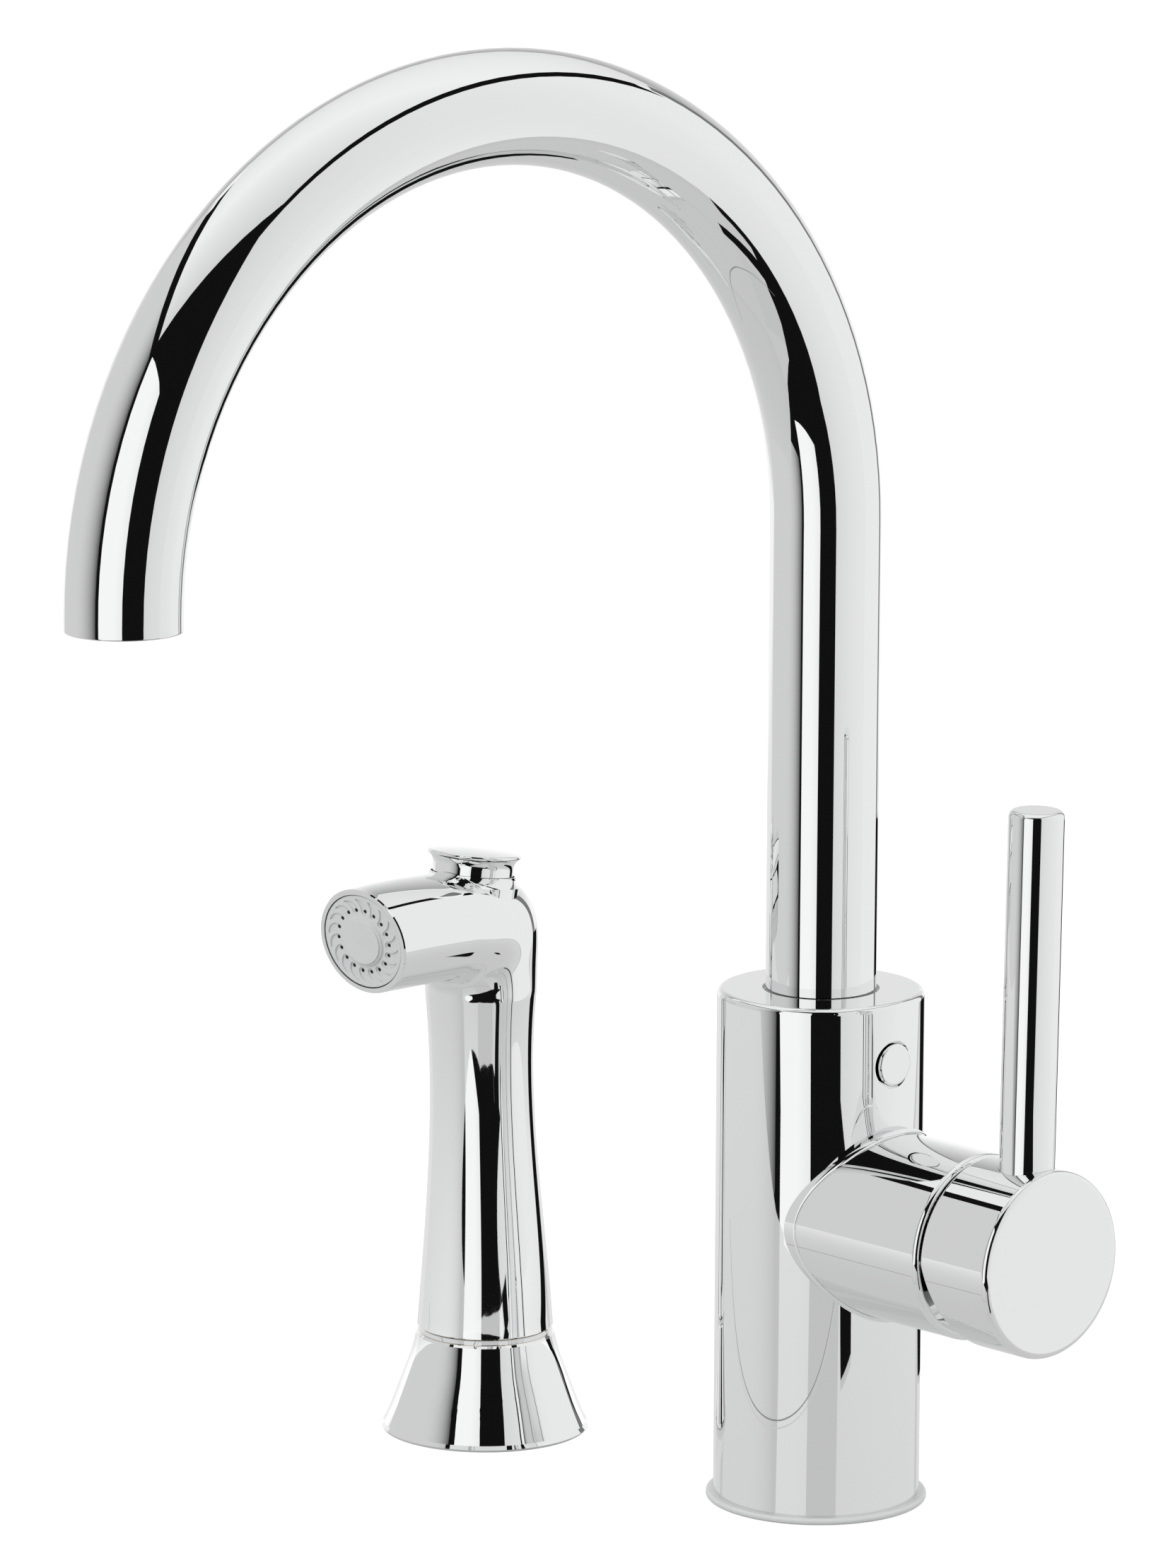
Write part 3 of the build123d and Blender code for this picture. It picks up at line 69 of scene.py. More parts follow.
@dataclass
class Tree:
    """A small helper that adds linked shader nodes to one node tree."""

    tree: bpy.types.NodeTree

    def add(self, kind: str, **settings: object) -> bpy.types.Node:
        """Add a node.

        Args:
            kind: The node's type name.
            settings: Attributes of the node to set.

        Returns:
            The new node.
        """
        node = self.tree.nodes.new(kind)
        for name, value in settings.items():
            setattr(node, name, value)
        return node

    def link(self, source: bpy.types.NodeSocket, target: bpy.types.NodeSocket) -> None:
        """Link one socket to another."""
        self.tree.links.new(source, target)

    def maths(
        self,
        operation: str,
        first: bpy.types.NodeSocket | float,
        second: bpy.types.NodeSocket | float = 0.0,
        clamp: bool = False,
    ) -> bpy.types.NodeSocket:
        """Combine two values.

        Args:
            operation: The Math node's operation.
            first: A socket or a number.
            second: A socket or a number.
            clamp: Whether the result is kept between 0 and 1.

        Returns:
            The result's socket.
        """
        node = self.add("ShaderNodeMath", operation=operation, use_clamp=clamp)
        for socket, value in zip(node.inputs, (first, second)):
            if isinstance(value, bpy.types.NodeSocket):
                self.link(value, socket)
            else:
                socket.default_value = value
        return node.outputs[0]

    def noise(
        self, vector: bpy.types.NodeSocket, scale: float, detail: float = 2.0
    ) -> bpy.types.NodeSocket:
        """Add a noise pattern.

        Args:
            vector: The coordinates that it reads.
            scale: Its frequency in cycles a metre.
            detail: How many finer layers it has.

        Returns:
            The noise's value, from 0 to 1.
        """
        node = self.add("ShaderNodeTexNoise")
        node.inputs["Scale"].default_value = scale
        node.inputs["Detail"].default_value = detail
        self.link(vector, node.inputs["Vector"])
        return node.outputs["Fac"]

    def spread(
        self,
        value: bpy.types.NodeSocket,
        low: float,
        high: float,
        start: float = 0.0,
        end: float = 1.0,
    ) -> bpy.types.NodeSocket:
        """Map a value between two limits onto another range.

        Args:
            value: The value's socket.
            low: The result at the start.
            high: The result at the end.
            start: Where the range starts.
            end: Where the range ends.

        Returns:
            The mapped value's socket.
        """
        node = self.add("ShaderNodeMapRange")
        self.link(value, node.inputs["Value"])
        node.inputs["From Min"].default_value = start
        node.inputs["From Max"].default_value = end
        node.inputs["To Min"].default_value = low
        node.inputs["To Max"].default_value = high
        return node.outputs["Result"]

    def shade(
        self, value: bpy.types.NodeSocket, dark: tuple[float, ...], light: tuple[float, ...]
    ) -> bpy.types.NodeSocket:
        """Blend two colours by a value.

        Args:
            value: The blend's socket, from 0 to 1.
            dark: The colour at 0.
            light: The colour at 1.

        Returns:
            The colour's socket.
        """
        node = self.add("ShaderNodeMix", data_type="RGBA")
        self.link(value, node.inputs[0])
        node.inputs[6].default_value = (*dark, 1.0)
        node.inputs[7].default_value = (*light, 1.0)
        return node.outputs[2]

    def bump(
        self, height: bpy.types.NodeSocket, depth: float, strength: float = 1.0
    ) -> bpy.types.NodeSocket:
        """Turn a height pattern into a normal.

        Args:
            height: The height's socket, from 0 to 1.
            depth: The real depth of the relief in metres.
            strength: How much of it shows.

        Returns:
            The normal's socket.
        """
        node = self.add("ShaderNodeBump")
        node.inputs["Distance"].default_value = depth
        node.inputs["Strength"].default_value = strength
        self.link(height, node.inputs["Height"])
        return node.outputs["Normal"]

    def finish(self, kind: str, *shaders: bpy.types.Node) -> None:
        """Add shaders together and link them to a new output.

        Args:
            kind: The output node's type name.
            shaders: The shaders' nodes.
        """
        total = shaders[0].outputs[0]
        for shader in shaders[1:]:
            both = self.add("ShaderNodeAddShader")
            self.link(total, both.inputs[0])
            self.link(shader.outputs[0], both.inputs[1])
            total = both.outputs[0]
        self.link(total, self.add(kind).inputs["Surface"])


def bare_tree(owner: bpy.types.Material | bpy.types.World) -> Tree:
    """Return the emptied node tree of a material or a world."""
    owner.use_nodes = True
    owner.node_tree.nodes.clear()
    return Tree(owner.node_tree)


def new_surface(name: str) -> tuple[bpy.types.Material, Tree, bpy.types.Node]:
    """Start a material with a Principled shader.

    Args:
        name: The material's name.

    Returns:
        The material, its tree and its shader.
    """
    material = bpy.data.materials.new(name)
    material.use_nodes = True
    tree = Tree(material.node_tree)
    return material, tree, material.node_tree.nodes["Principled BSDF"]


# ---- Finishes --------------------------------------------


@dataclass(frozen=True)
class Metal:
    """A metal surface: plated, turned or drawn, with its fine relief."""

    name: str
    colour: tuple[float, float, float]
    tarnish: tuple[float, float, float]
    roughness: tuple[float, float]
    relief_scale: float
    relief_depth: float
    pattern: Pattern = Pattern.CAST

    def material(self) -> bpy.types.Material:
        """Build the finish's material."""
        material, tree, shader = new_surface(self.name)
        vector = tree.add("ShaderNodeTexCoord").outputs["Object"]
        cloud = tree.noise(vector, self.relief_scale / 3, 3.0)
        shader.inputs["Metallic"].default_value = 1.0
        tree.link(tree.shade(cloud, self.tarnish, self.colour), shader.inputs["Base Color"])
        fine = tree.noise(vector, self.relief_scale * 40, 4.0)
        tree.link(tree.spread(fine, *self.roughness, *GRAIN_SPAN), shader.inputs["Roughness"])
        tree.link(tree.bump(self._height(tree, vector), self.relief_depth), shader.inputs["Normal"])
        return material

    def _height(self, tree: Tree, vector: bpy.types.NodeSocket) -> bpy.types.NodeSocket:
        """Return the relief's height pattern.

        Args:
            tree: The material's tree.
            vector: The coordinates that the pattern reads.

        Returns:
            The height's socket.
        """
        if self.pattern in (Pattern.TURNED_X, Pattern.TURNED_Z):
            direction = "X" if self.pattern is Pattern.TURNED_X else "Z"
            rings = tree.add("ShaderNodeTexWave", wave_type="BANDS", bands_direction=direction)
            rings.inputs["Scale"].default_value = self.relief_scale
            rings.inputs["Distortion"].default_value = 0.4
            tree.link(vector, rings.inputs["Vector"])
            return rings.outputs["Fac"]
        stretch = tree.add("ShaderNodeMapping")
        along = 0.25 if self.pattern is Pattern.DRAWN else 1.0
        stretch.inputs["Scale"].default_value = (1.0, along, along)
        tree.link(vector, stretch.inputs["Vector"])
        return tree.noise(stretch.outputs["Vector"], self.relief_scale, 1.0)


@dataclass(frozen=True)
class Moulded:
    """A moulded plastic, rubber or ceramic surface."""

    name: str
    colour: tuple[float, float, float]
    shadow: tuple[float, float, float]
    roughness: tuple[float, float]
    grain_scale: float
    grain_depth: float
    sheen: float = 0.0
    coat: float = 0.0

    def material(self) -> bpy.types.Material:
        """Build the finish's material."""
        material, tree, shader = new_surface(self.name)
        vector = tree.add("ShaderNodeTexCoord").outputs["Object"]
        cloud = tree.noise(vector, self.grain_scale / 20, 3.0)
        grain = tree.noise(vector, self.grain_scale, 5.0)
        tree.link(tree.shade(cloud, self.shadow, self.colour), shader.inputs["Base Color"])
        tree.link(tree.spread(grain, *self.roughness, *GRAIN_SPAN), shader.inputs["Roughness"])
        tree.link(tree.bump(grain, self.grain_depth), shader.inputs["Normal"])
        shader.inputs["Sheen Weight"].default_value = self.sheen
        shader.inputs["Coat Weight"].default_value = self.coat
        return material


CHROME_CAST = Metal(
    name="chrome_on_casting",
    colour=(0.900, 0.905, 0.905),
    tarnish=(0.880, 0.886, 0.890),
    roughness=(0.010, 0.024),
    relief_scale=34.0,
    relief_depth=9e-6,
)
CHROME_TUBE = Metal(
    name="chrome_on_drawn_tube",
    colour=(0.900, 0.905, 0.905),
    tarnish=(0.884, 0.890, 0.893),
    roughness=(0.008, 0.020),
    relief_scale=30.0,
    relief_depth=5e-6,
    pattern=Pattern.DRAWN,
)
CHROME_TURNED = replace(
    CHROME_TUBE,
    name="chrome_on_turned_part",
    relief_scale=26.0,
    relief_depth=4e-6,
    pattern=Pattern.CAST,
)
# Painted shade: the valve dome is plated like the cap, but its colour is darkened so that the gap
# between the housing and the cap reads dark.
GAP_SHADE_DOME = replace(
    CHROME_TURNED,
    name="dome_with_painted_gap_shade",
    colour=(0.200, 0.202, 0.205),
    tarnish=(0.150, 0.152, 0.155),
    roughness=(0.06, 0.12),
)
BRASS = Metal(
    name="machined_brass",
    colour=(0.780, 0.620, 0.350),
    tarnish=(0.640, 0.480, 0.250),
    roughness=(0.22, 0.36),
    relief_scale=620.0,
    relief_depth=1.5e-5,
    pattern=Pattern.TURNED_Z,
)
BRASS_NUT = replace(BRASS, name="machined_brass_nut", pattern=Pattern.TURNED_X)
STEEL = Metal(
    name="plain_stainless_steel",
    colour=(0.660, 0.670, 0.680),
    tarnish=(0.560, 0.570, 0.585),
    roughness=(0.22, 0.38),
    relief_scale=900.0,
    relief_depth=8e-6,
)
GREY_PLASTIC = Moulded(
    name="light_grey_satin_plastic",
    colour=(0.700, 0.712, 0.712),
    shadow=(0.650, 0.662, 0.664),
    roughness=(0.30, 0.42),
    grain_scale=2600.0,
    grain_depth=1.2e-5,
)
PLUG_PLASTIC = replace(
    GREY_PLASTIC,
    name="grey_plug_plastic",
    colour=(0.600, 0.610, 0.610),
    shadow=(0.540, 0.550, 0.552),
    roughness=(0.34, 0.46),
)
# Partly painted shade: real rubber nozzle tips, coloured darker than the seal rubber to paint the
# shade inside the nozzle holes.
TIP_RUBBER_AND_HOLE_SHADE = Moulded(
    name="nozzle_rubber_and_painted_hole_shade",
    colour=(0.012, 0.012, 0.012),
    shadow=(0.008, 0.008, 0.008),
    roughness=(0.75, 0.90),
    grain_scale=5200.0,
    grain_depth=1.0e-5,
)
WHITE_PLASTIC = Moulded(
    name="moulded_off_white_plastic",
    colour=(0.860, 0.860, 0.840),
    shadow=(0.800, 0.800, 0.775),
    roughness=(0.32, 0.46),
    grain_scale=2400.0,
    grain_depth=1.0e-5,
)
BLACK_RUBBER = Moulded(
    name="black_seal_rubber",
    colour=(0.050, 0.050, 0.050),
    shadow=(0.030, 0.030, 0.031),
    roughness=(0.55, 0.72),
    grain_scale=3200.0,
    grain_depth=2.0e-5,
    sheen=0.15,
)
CERAMIC = Moulded(
    name="lapped_white_ceramic",
    colour=(0.930, 0.930, 0.910),
    shadow=(0.890, 0.888, 0.865),
    roughness=(0.10, 0.18),
    grain_scale=4000.0,
    grain_depth=3.0e-6,
    coat=0.3,
)


@dataclass
class Wardrobe:
    """Builds each finish once and puts it on pieces."""

    made: dict[str, bpy.types.Material] = field(default_factory=dict)

    def material(self, finish: Metal | Moulded) -> bpy.types.Material:
        """Return the finish's material, built at its first use."""
        if finish.name not in self.made:
            self.made[finish.name] = finish.material()
        return self.made[finish.name]

    def dress(self, piece: bpy.types.Object, finish: Metal | Moulded) -> None:
        """Put a finish on every slot of a piece.

        Args:
            piece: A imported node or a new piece.
            finish: The finish that it gets.
        """
        material = self.material(finish)
        if not piece.material_slots:
            piece.data.materials.append(material)
        for slot in piece.material_slots:
            slot.material = material
        LOG.info("%s: %s", piece.name, finish.name)

    def dress_nodes(self, finish: Metal | Moulded, *names: str) -> None:
        """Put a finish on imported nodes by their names."""
        for name in names:
            self.dress(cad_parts[name], finish)


def add_object(name: str, mesh: bmesh.types.BMesh) -> bpy.types.Object:
    """Turn a bmesh into an object in the scene.

    Args:
        name: The object's name.
        mesh: Its shape, in place, which is freed.

    Returns:
        The new object.
    """
    data = bpy.data.meshes.new(name)
    mesh.to_mesh(data)
    mesh.free()
    made = bpy.data.objects.new(name, data)
    bpy.context.scene.collection.objects.link(made)
    return made


def make_piece(name: str, mesh: bmesh.types.BMesh, body: str) -> bpy.types.Object:
    """Turn a bmesh into a piece that rides on a body.

    Args:
        name: The piece's name.
        mesh: Its shape, in place, which is freed.
        body: The body that carries it.

    Returns:
        The new object.
    """
    bmesh.ops.recalc_face_normals(mesh, faces=mesh.faces)
    for face in mesh.faces:
        face.smooth = True
    for edge in mesh.edges:
        edge.smooth = edge.calc_face_angle(0.0) < SHARP_ANGLE
    piece = add_object(name, mesh)
    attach(piece, body)
    LOG.info("built %s on %s", name, body)
    return piece


# ---- Threads in the open ports ---------------------------


def join_rings(mesh: bmesh.types.BMesh, rings: list[list[bmesh.types.BMVert]]) -> None:
    """Join each ring of corners to the one before it, and the first to the last.

    Args:
        mesh: The mesh that holds the rings.
        rings: Rings with as many corners each.
    """
    for index, ring in enumerate(rings):
        before = rings[index - 1]
        for step in range(len(ring)):
            mesh.faces.new((before[step - 1], before[step], ring[step], ring[step - 1]))


@dataclass
class Thread:
    """An inside thread: one ridge that winds up a vertical bore."""

    name: str
    x: float
    y: float
    foot: float
    radius: float
    pitch: float
    turns: int
    body: str = "faucet"
    slot: str = "polished_chrome"
    steps_a_turn: int = 28
    root_sink: float = 0.05 * MM
    depth_share: float = 0.55
    half_width_share: float = 0.44

    def build(self) -> bpy.types.Object:
        """Wind the ridge and close its ends."""
        depth, half_width = self.depth_share * self.pitch, self.half_width_share * self.pitch
        start = Vector((self.x, self.y, self.foot + self.pitch))
        profile = (
            Vector((self.radius + self.root_sink, 0.0, -half_width)),
            Vector((self.radius - depth, 0.0, 0.0)),
            Vector((self.radius + self.root_sink, 0.0, half_width)),
        )
        mesh = bmesh.new()
        corners = [mesh.verts.new(start + corner) for corner in profile]
        face = mesh.faces.new(corners)
        bmesh.ops.spin(
            mesh,
            geom=[face, *face.edges, *face.verts],
            cent=(self.x, self.y, self.foot),
            axis=(0.0, 0.0, 1.0),
            dvec=(0.0, 0.0, self.pitch / self.steps_a_turn),
            angle=math.tau * self.turns,
            steps=self.steps_a_turn * self.turns,
            use_merge=False,
        )
        bmesh.ops.remove_doubles(mesh, verts=mesh.verts, dist=MERGE_DISTANCE)
        return make_piece(self.name, mesh, self.body)


# ---- Turned rings ----------------------------------------


@dataclass
class Turned:
    """A chromed ring turned from a closed outline of (radius, rise) points in millimetres."""

    name: str
    origin: Vector
    axis: Vector
    outline: list[tuple[float, float]]
    body: str
    segments: int = 96

    def build(self) -> bpy.types.Object:
        """Turn the outline round the axis."""
        out = self.axis.orthogonal().normalized()
        mesh = bmesh.new()
        corners = [
            mesh.verts.new(self.origin + out * (radius * MM) + self.axis * (rise * MM))
            for radius, rise in self.outline
        ]
        edges = [
            mesh.edges.new((corner, corners[index - 1])) for index, corner in enumerate(corners)
        ]
        bmesh.ops.spin(
            mesh,
            geom=[*corners, *edges],
            cent=self.origin,
            axis=self.axis,
            angle=math.tau,
            steps=self.segments,
            use_merge=True,
        )
        bmesh.ops.remove_doubles(mesh, verts=mesh.verts, dist=MERGE_DISTANCE)
        return make_piece(self.name, mesh, self.body)


# ---- Fillet between the body and the valve housing -------


@dataclass
class JunctionFillet:
    """The cast fillet that runs round the foot of the valve housing on the round body.

    Open fault: the body's wall is at 25.0 mm, not at the body_radius given here. So the fillet
    stands on the housing alone, 1.3 to 2.9 mm off the body's wall.
    """

    body_radius: float = 26.82 * MM
    housing_radius: float = 22.52 * MM
    housing_height: float = 72.4 * MM
    radius: float = 1.1 * MM
    root: float = 0.5 * MM
    turns: int = 240
    arc_steps: int = 8

    def _section(self, angle: float) -> list[Vector]:
        """Return the fillet's outline at an angle round the housing."""
        across, up = math.cos(angle), math.sin(angle)
        reach = self.housing_radius + self.radius
        y, rise = reach * across, reach * up
        x = math.sqrt((self.body_radius + self.radius) ** 2 - y * y)
        centre = Vector((x, y, self.housing_height + rise))
        shrink = self.body_radius / (self.body_radius + self.radius)
        start = Vector((x * shrink, y * shrink, centre.z)) - centre
        deep = self.housing_radius * across
        level = self.housing_height + self.housing_radius * up
        end = Vector((x, deep, level)) - centre
        outline = []
        for step in range(self.arc_steps + 1):
            along = start.lerp(end, step / self.arc_steps)
            outline.append(centre + along.normalized() * self.radius)
        corner = Vector((math.sqrt(self.body_radius**2 - deep * deep), deep, level))
        inward = (corner - centre).normalized() * self.root
        outline.append(corner + inward)
        return outline

    def build(self) -> bpy.types.Object:
        """Sweep the outline round the housing."""
        mesh = bmesh.new()
        rings = [
            [mesh.verts.new(point) for point in self._section(math.tau * turn / self.turns)]
            for turn in range(self.turns)
        ]
        join_rings(mesh, rings)
        return make_piece("housing_foot_fillet", mesh, "faucet")


# ---- Hand spray's shell ----------------------------------


def through(points: tuple[tuple[float, float], ...], at: float) -> float:
    """Return the polynomial through some points at a place.

    Args:
        points: Places and their values.
        at: The place asked for.

    Returns:
        The value there.
    """
    total = 0.0
    for index, (place, value) in enumerate(points):
        for other, (elsewhere, _) in enumerate(points):
            if other != index:
                value *= (at - elsewhere) / (place - elsewhere)
        total += value
    return total


# Where the hand spray stands, in millimetres from the body's axis.
SPRAY_AXIS = (-100.0565, -17.6427)


@dataclass
class SprayShell:
    """The wand's plated shell: sections from the foot round the bend to the face.

    Sizes are millimetres; a point on the wand's middle plane is a reach and a height.
    """

    x: float = SPRAY_AXIS[0]
    y: float = SPRAY_AXIS[1]
    yaw: float = math.radians(8.87)
    foot: float = 26.3
    foot_radius: float = 17.0
    middle: tuple[float, float, float] = (55.0, 0.4, 14.65)
    waist: tuple[float, float, float] = (90.0, 1.6, 12.9)
    throat_reach: float = 20.5
    throat_height: float = 113.0
    throat_radius: float = 4.6
    depth_below: float = 32.4
    depth_ahead: float = 31.1
    bulge: float = 6.3
    bulge_angle: float = 38.0
    bulge_spread: float = 20.0
    face_ahead: float = 27.34
    face_rise: float = 18.96
    face_tilt: float = math.radians(9.14)
    head_radius: float = 13.33
    head_crown: float = 0.45
    shoulder: float = 1.2
    wall: float = 2.0
    ring_bore: float = 15.2
    ring_top: float = 29.3
    seat_radius: float = 12.0
    seat_depth: float = 6.4
    button_angle: float = math.radians(60.65)
    button_sink: float = 3.08
    button_tilt: float = math.radians(8.0)
    button_bore: float = 10.4
    foot_edge: float = 0.25
    face_edge: float = 0.3
    ring_clear: float = 0.5
    bore_reach: float = 12.0 * MM
    snap_reach: float = 2.0 * MM
    fair_rounds: int = 10
    grip_steps: int = 60
    bend_steps: int = 54
    head_steps: int = 26
    segments: int = 120

    @property
    def side(self) -> Vector:
        """The direction across the wand's middle plane."""
        return Vector((math.cos(self.yaw), math.sin(self.yaw), 0.0))

    def direction(self, forward: float, up: float) -> Vector:
        """Return the unit direction that goes forward and up on the middle plane."""
        east, north = math.sin(self.yaw) * forward, -math.cos(self.yaw) * forward
        return Vector((east, north, up)).normalized()

    def point(self, reach: float, height: float) -> Vector:
        """Turn a reach and a height on the middle plane into a place in metres."""
        forward = Vector((math.sin(self.yaw), -math.cos(self.yaw), 0.0))
        return (Vector((self.x, self.y, height)) + forward * reach) * MM

    @property
    def throat(self) -> Vector:
        """The centre that the bend turns round."""
        return Vector((self.throat_reach, self.throat_height))

    @property
    def face_centre(self) -> Vector:
        """The middle of the spray face."""
        return self.throat + Vector((self.face_ahead, self.face_rise))

    def _bend(self, depth: float, angle: float) -> Vector:
        """Return the middle plane's point at a depth from the throat's centre."""
        return self.throat + Vector((-math.cos(angle), math.sin(angle))) * depth

    def _depth(self, angle: float) -> float:
        """Return how deep the bend's back lies from the throat's centre."""
        share = (math.degrees(angle) - self.bulge_angle) / self.bulge_spread
        level = self.depth_ahead + (self.depth_below - self.depth_ahead) * math.cos(angle)
        return level + self.bulge * math.exp(-share * share)

    def _stations(self) -> list[tuple[Vector, Vector]]:
        """Return the front and back points of the sections, from foot to face."""
        low, high = self._bend(self.throat_radius, 0.0), self._bend(self._depth(0.0), 0.0)
        fronts = [(self.foot, self.foot_radius)]
        backs = [(self.foot, -self.foot_radius)]
        for height, shift, radius in (self.middle, self.waist):
            fronts.append((height, shift + radius))
            backs.append((height, shift - radius))
        fronts.append((low.y, low.x))
        backs.append((high.y, high.x))
        rows = []
        for step in range(self.grip_steps):
            height = self.foot + (self.throat_height - self.foot) * step / self.grip_steps
            front = Vector((through(tuple(fronts), height), height))
            rows.append((front, Vector((through(tuple(backs), height), height))))
        for step in range(self.bend_steps):
            angle = math.pi / 2 * step / self.bend_steps
            back = self._bend(self._depth(angle), angle)
            rows.append((self._bend(self.throat_radius, angle), back))
        face = self.face_centre
        up = Vector((math.sin(self.face_tilt), math.cos(self.face_tilt))) * self.head_radius
        start = self._bend(self.throat_radius, math.pi / 2)
        top = self._bend(self._depth(math.pi / 2), math.pi / 2)
        for step in range(self.head_steps + 1):
            share = step / self.head_steps
            crown = Vector((0.0, 4 * self.head_crown * share * (1 - share)))
            rows.append((start.lerp(face - up, share), top.lerp(face + up, share) + crown))
        return self._fair(rows)

    def _fair(self, rows: list[tuple[Vector, Vector]]) -> list[tuple[Vector, Vector]]:
        """Even out the two outlines a little, with their ends as they are."""
        for _ in range(self.fair_rounds):
            rows = [
                rows[index]
                if index in (0, len(rows) - 1)
                else tuple(
                    (rows[index - 1][side] + rows[index][side] * 2 + rows[index + 1][side]) / 4
                    for side in (0, 1)
                )
                for index in range(len(rows))
            ]
        return rows

    def _ring(
        self,
        mesh: bmesh.types.BMesh,
        row: tuple[Vector, Vector],
        radius: float,
        along: float = 0.0,
        side_radius: float | None = None,
    ) -> list[bmesh.types.BMVert]:
        """Add a section's round outline.

        Args:
            mesh: The mesh that it goes into.
            row: The section's front and back points.
            radius: Its radius on the middle plane.
            along: How far it is moved along the wand.
            side_radius: Its radius across the plane, if that differs.

        Returns:
            The outline's corners in order.
        """
        front, back = row
        middle, span = (front + back) / 2, back - front
        out = self.direction(span.x, span.y)
        normal = out.cross(self.side)
        turn = Matrix((out, self.side, normal)).transposed().to_4x4()
        place = self.point(middle.x, middle.y) - normal * (along * MM)
        width = 1.0 if side_radius is None else side_radius / radius
        ring = bmesh.ops.create_circle(
            mesh,
            cap_ends=False,
            segments=self.segments,
            radius=radius * MM,
            matrix=Matrix.Translation(place) @ turn @ Matrix.Diagonal((1.0, width, 1.0, 1.0)),
        )
        return ring["verts"]

    def _widths(self, radii: list[float]) -> list[float]:
        """Return the sections' radii across: as on the plane, but slimmer round the bend.

        Args:
            radii: The sections' radii on the middle plane.

        Returns:
            The radii across it.
        """
        first, last = self.grip_steps, self.grip_steps + self.bend_steps
        widths = list(radii)
        for index in range(first, len(radii)):
            if index < last:
                share = (index - first) / self.bend_steps
                widths[index] = radii[first] + (radii[last] - radii[first]) * share
            along = (index - first) / (len(radii) - 1 - first)
            widths[index] += self.shoulder * math.sin(math.pi * along) ** 2
        return widths

    def build(self) -> bpy.types.Object:
        """Build the shell, outside and inside, with the button's bore through its top."""
        rows = self._stations()
        radii = [(back - front).length / 2 for front, back in rows]
        widths = self._widths(radii)
        mesh = bmesh.new()
        rings = [self._ring(mesh, rows[0], radii[0] - self.foot_edge)]
        rings.append(self._ring(mesh, rows[0], radii[0], self.foot_edge))
        rings += [
            self._ring(mesh, rows[i], radii[i], side_radius=widths[i])
            for i in range(1, len(rows) - 1)
        ]
        rings.append(self._ring(mesh, rows[-1], radii[-1], -self.face_edge))
        rings.append(self._ring(mesh, rows[-1], radii[-1] - self.face_edge))
        rings.append(self._ring(mesh, rows[-1], self.seat_radius))
        rings.append(self._ring(mesh, rows[-1], self.seat_radius, -self.seat_depth))
        head = (rows[-1][0] - rows[-self.head_steps][0]).length
        last = len(rows) - 1 - math.ceil(self.head_steps * self.seat_depth / head) - 1
        lowest = self.ring_top + self.ring_clear
        inner = [i for i in range(last, 0, -2) if rows[i][0].y > lowest]
        rings += [
            self._ring(mesh, rows[i], radii[i] - self.wall, side_radius=widths[i] - self.wall)
            for i in inner
        ]
        rings.append(self._ring(mesh, rows[0], self.ring_bore, self.ring_top - self.foot))
        rings.append(self._ring(mesh, rows[0], self.ring_bore))
        join_rings(mesh, rings)
        self._bore(mesh)
        return make_piece("spray_shell_skin", mesh, "spray_wand")

    def button(self) -> tuple[Vector, Vector]:
        """Return the button's seat and its axis."""
        seat = self._bend(self._depth(self.button_angle) - self.button_sink, self.button_angle)
        axis = self.direction(-math.sin(self.button_tilt), math.cos(self.button_tilt))
        return self.point(seat.x, seat.y), axis

    def _bore(self, mesh: bmesh.types.BMesh) -> None:
        """Open a round bore for the button through the top of the shell."""
        seat, axis = self.button()
        bore = self.button_bore * MM
        bmesh.ops.recalc_face_normals(mesh, faces=mesh.faces)
        surface = BVHTree.FromBMesh(mesh)

        def away(place: Vector) -> tuple[float, float]:
            """Return a place's distance from the button's axis and its rise over the seat."""
            rise = (place - seat).dot(axis)
            return (place - seat - axis * rise).length, rise

        inside = []
        for face in mesh.faces:
            radius, rise = away(face.calc_center_median())
            if radius < bore and abs(rise) < self.bore_reach:
                inside.append(face)
        bmesh.ops.delete(mesh, geom=inside, context="FACES")
        edges = [edge for edge in mesh.edges if edge.is_boundary]
        for vert in {vert for edge in edges for vert in edge.verts}:
            radius, rise = away(vert.co)
            foot = vert.co - axis * rise - seat
            target = seat + foot * (bore / radius)
            start = target + axis * (rise + self.snap_reach)
            hit = surface.ray_cast(start, -axis, 2 * self.snap_reach)[0]
            vert.co = hit if hit is not None else target + axis * rise
        bmesh.ops.bridge_loops(mesh, edges=edges)
        bmesh.ops.triangulate(mesh, faces=[face for face in mesh.faces if len(face.verts) > 4])


@dataclass
class NozzleTips:
    """The rubber tips inside the spray face's nozzles, near black so that they also paint the shade
    inside the nozzle holes.
    """

    count: int = 18
    circle: float = 7.9 * MM
    radius: float = 0.49 * MM
    depth: float = 0.72 * MM
    length: float = 1.2 * MM
    taper: float = 0.96
    segments: int = 20

    def build(self, shell: SprayShell) -> bpy.types.Object:
        """Stand a tip in each nozzle.

        Args:
            shell: The shell whose face the nozzles are in.

        Returns:
            The tips as one piece.
        """
        axis = shell.direction(math.cos(shell.face_tilt), -math.sin(shell.face_tilt))
        up = shell.direction(math.sin(shell.face_tilt), math.cos(shell.face_tilt))
        turn = Matrix((shell.side, up, axis)).transposed().to_4x4()
        face = shell.point(*shell.face_centre)
        mesh = bmesh.new()
        for index in range(self.count):
            angle = math.tau * index / self.count
            spot = (shell.side * math.cos(angle) + up * math.sin(angle)) * self.circle
            place = face + spot - axis * (self.depth + self.length / 2)
            bmesh.ops.create_cone(
                mesh,
                cap_ends=True,
                segments=self.segments,
                radius1=self.radius,
                radius2=self.radius * self.taper,
                depth=self.length,
                matrix=Matrix.Translation(place) @ turn,
            )
        return make_piece("nozzle_tips_and_hole_shade", mesh, "spray_wand")


# ---- Sub-assemblies --------------------------------------


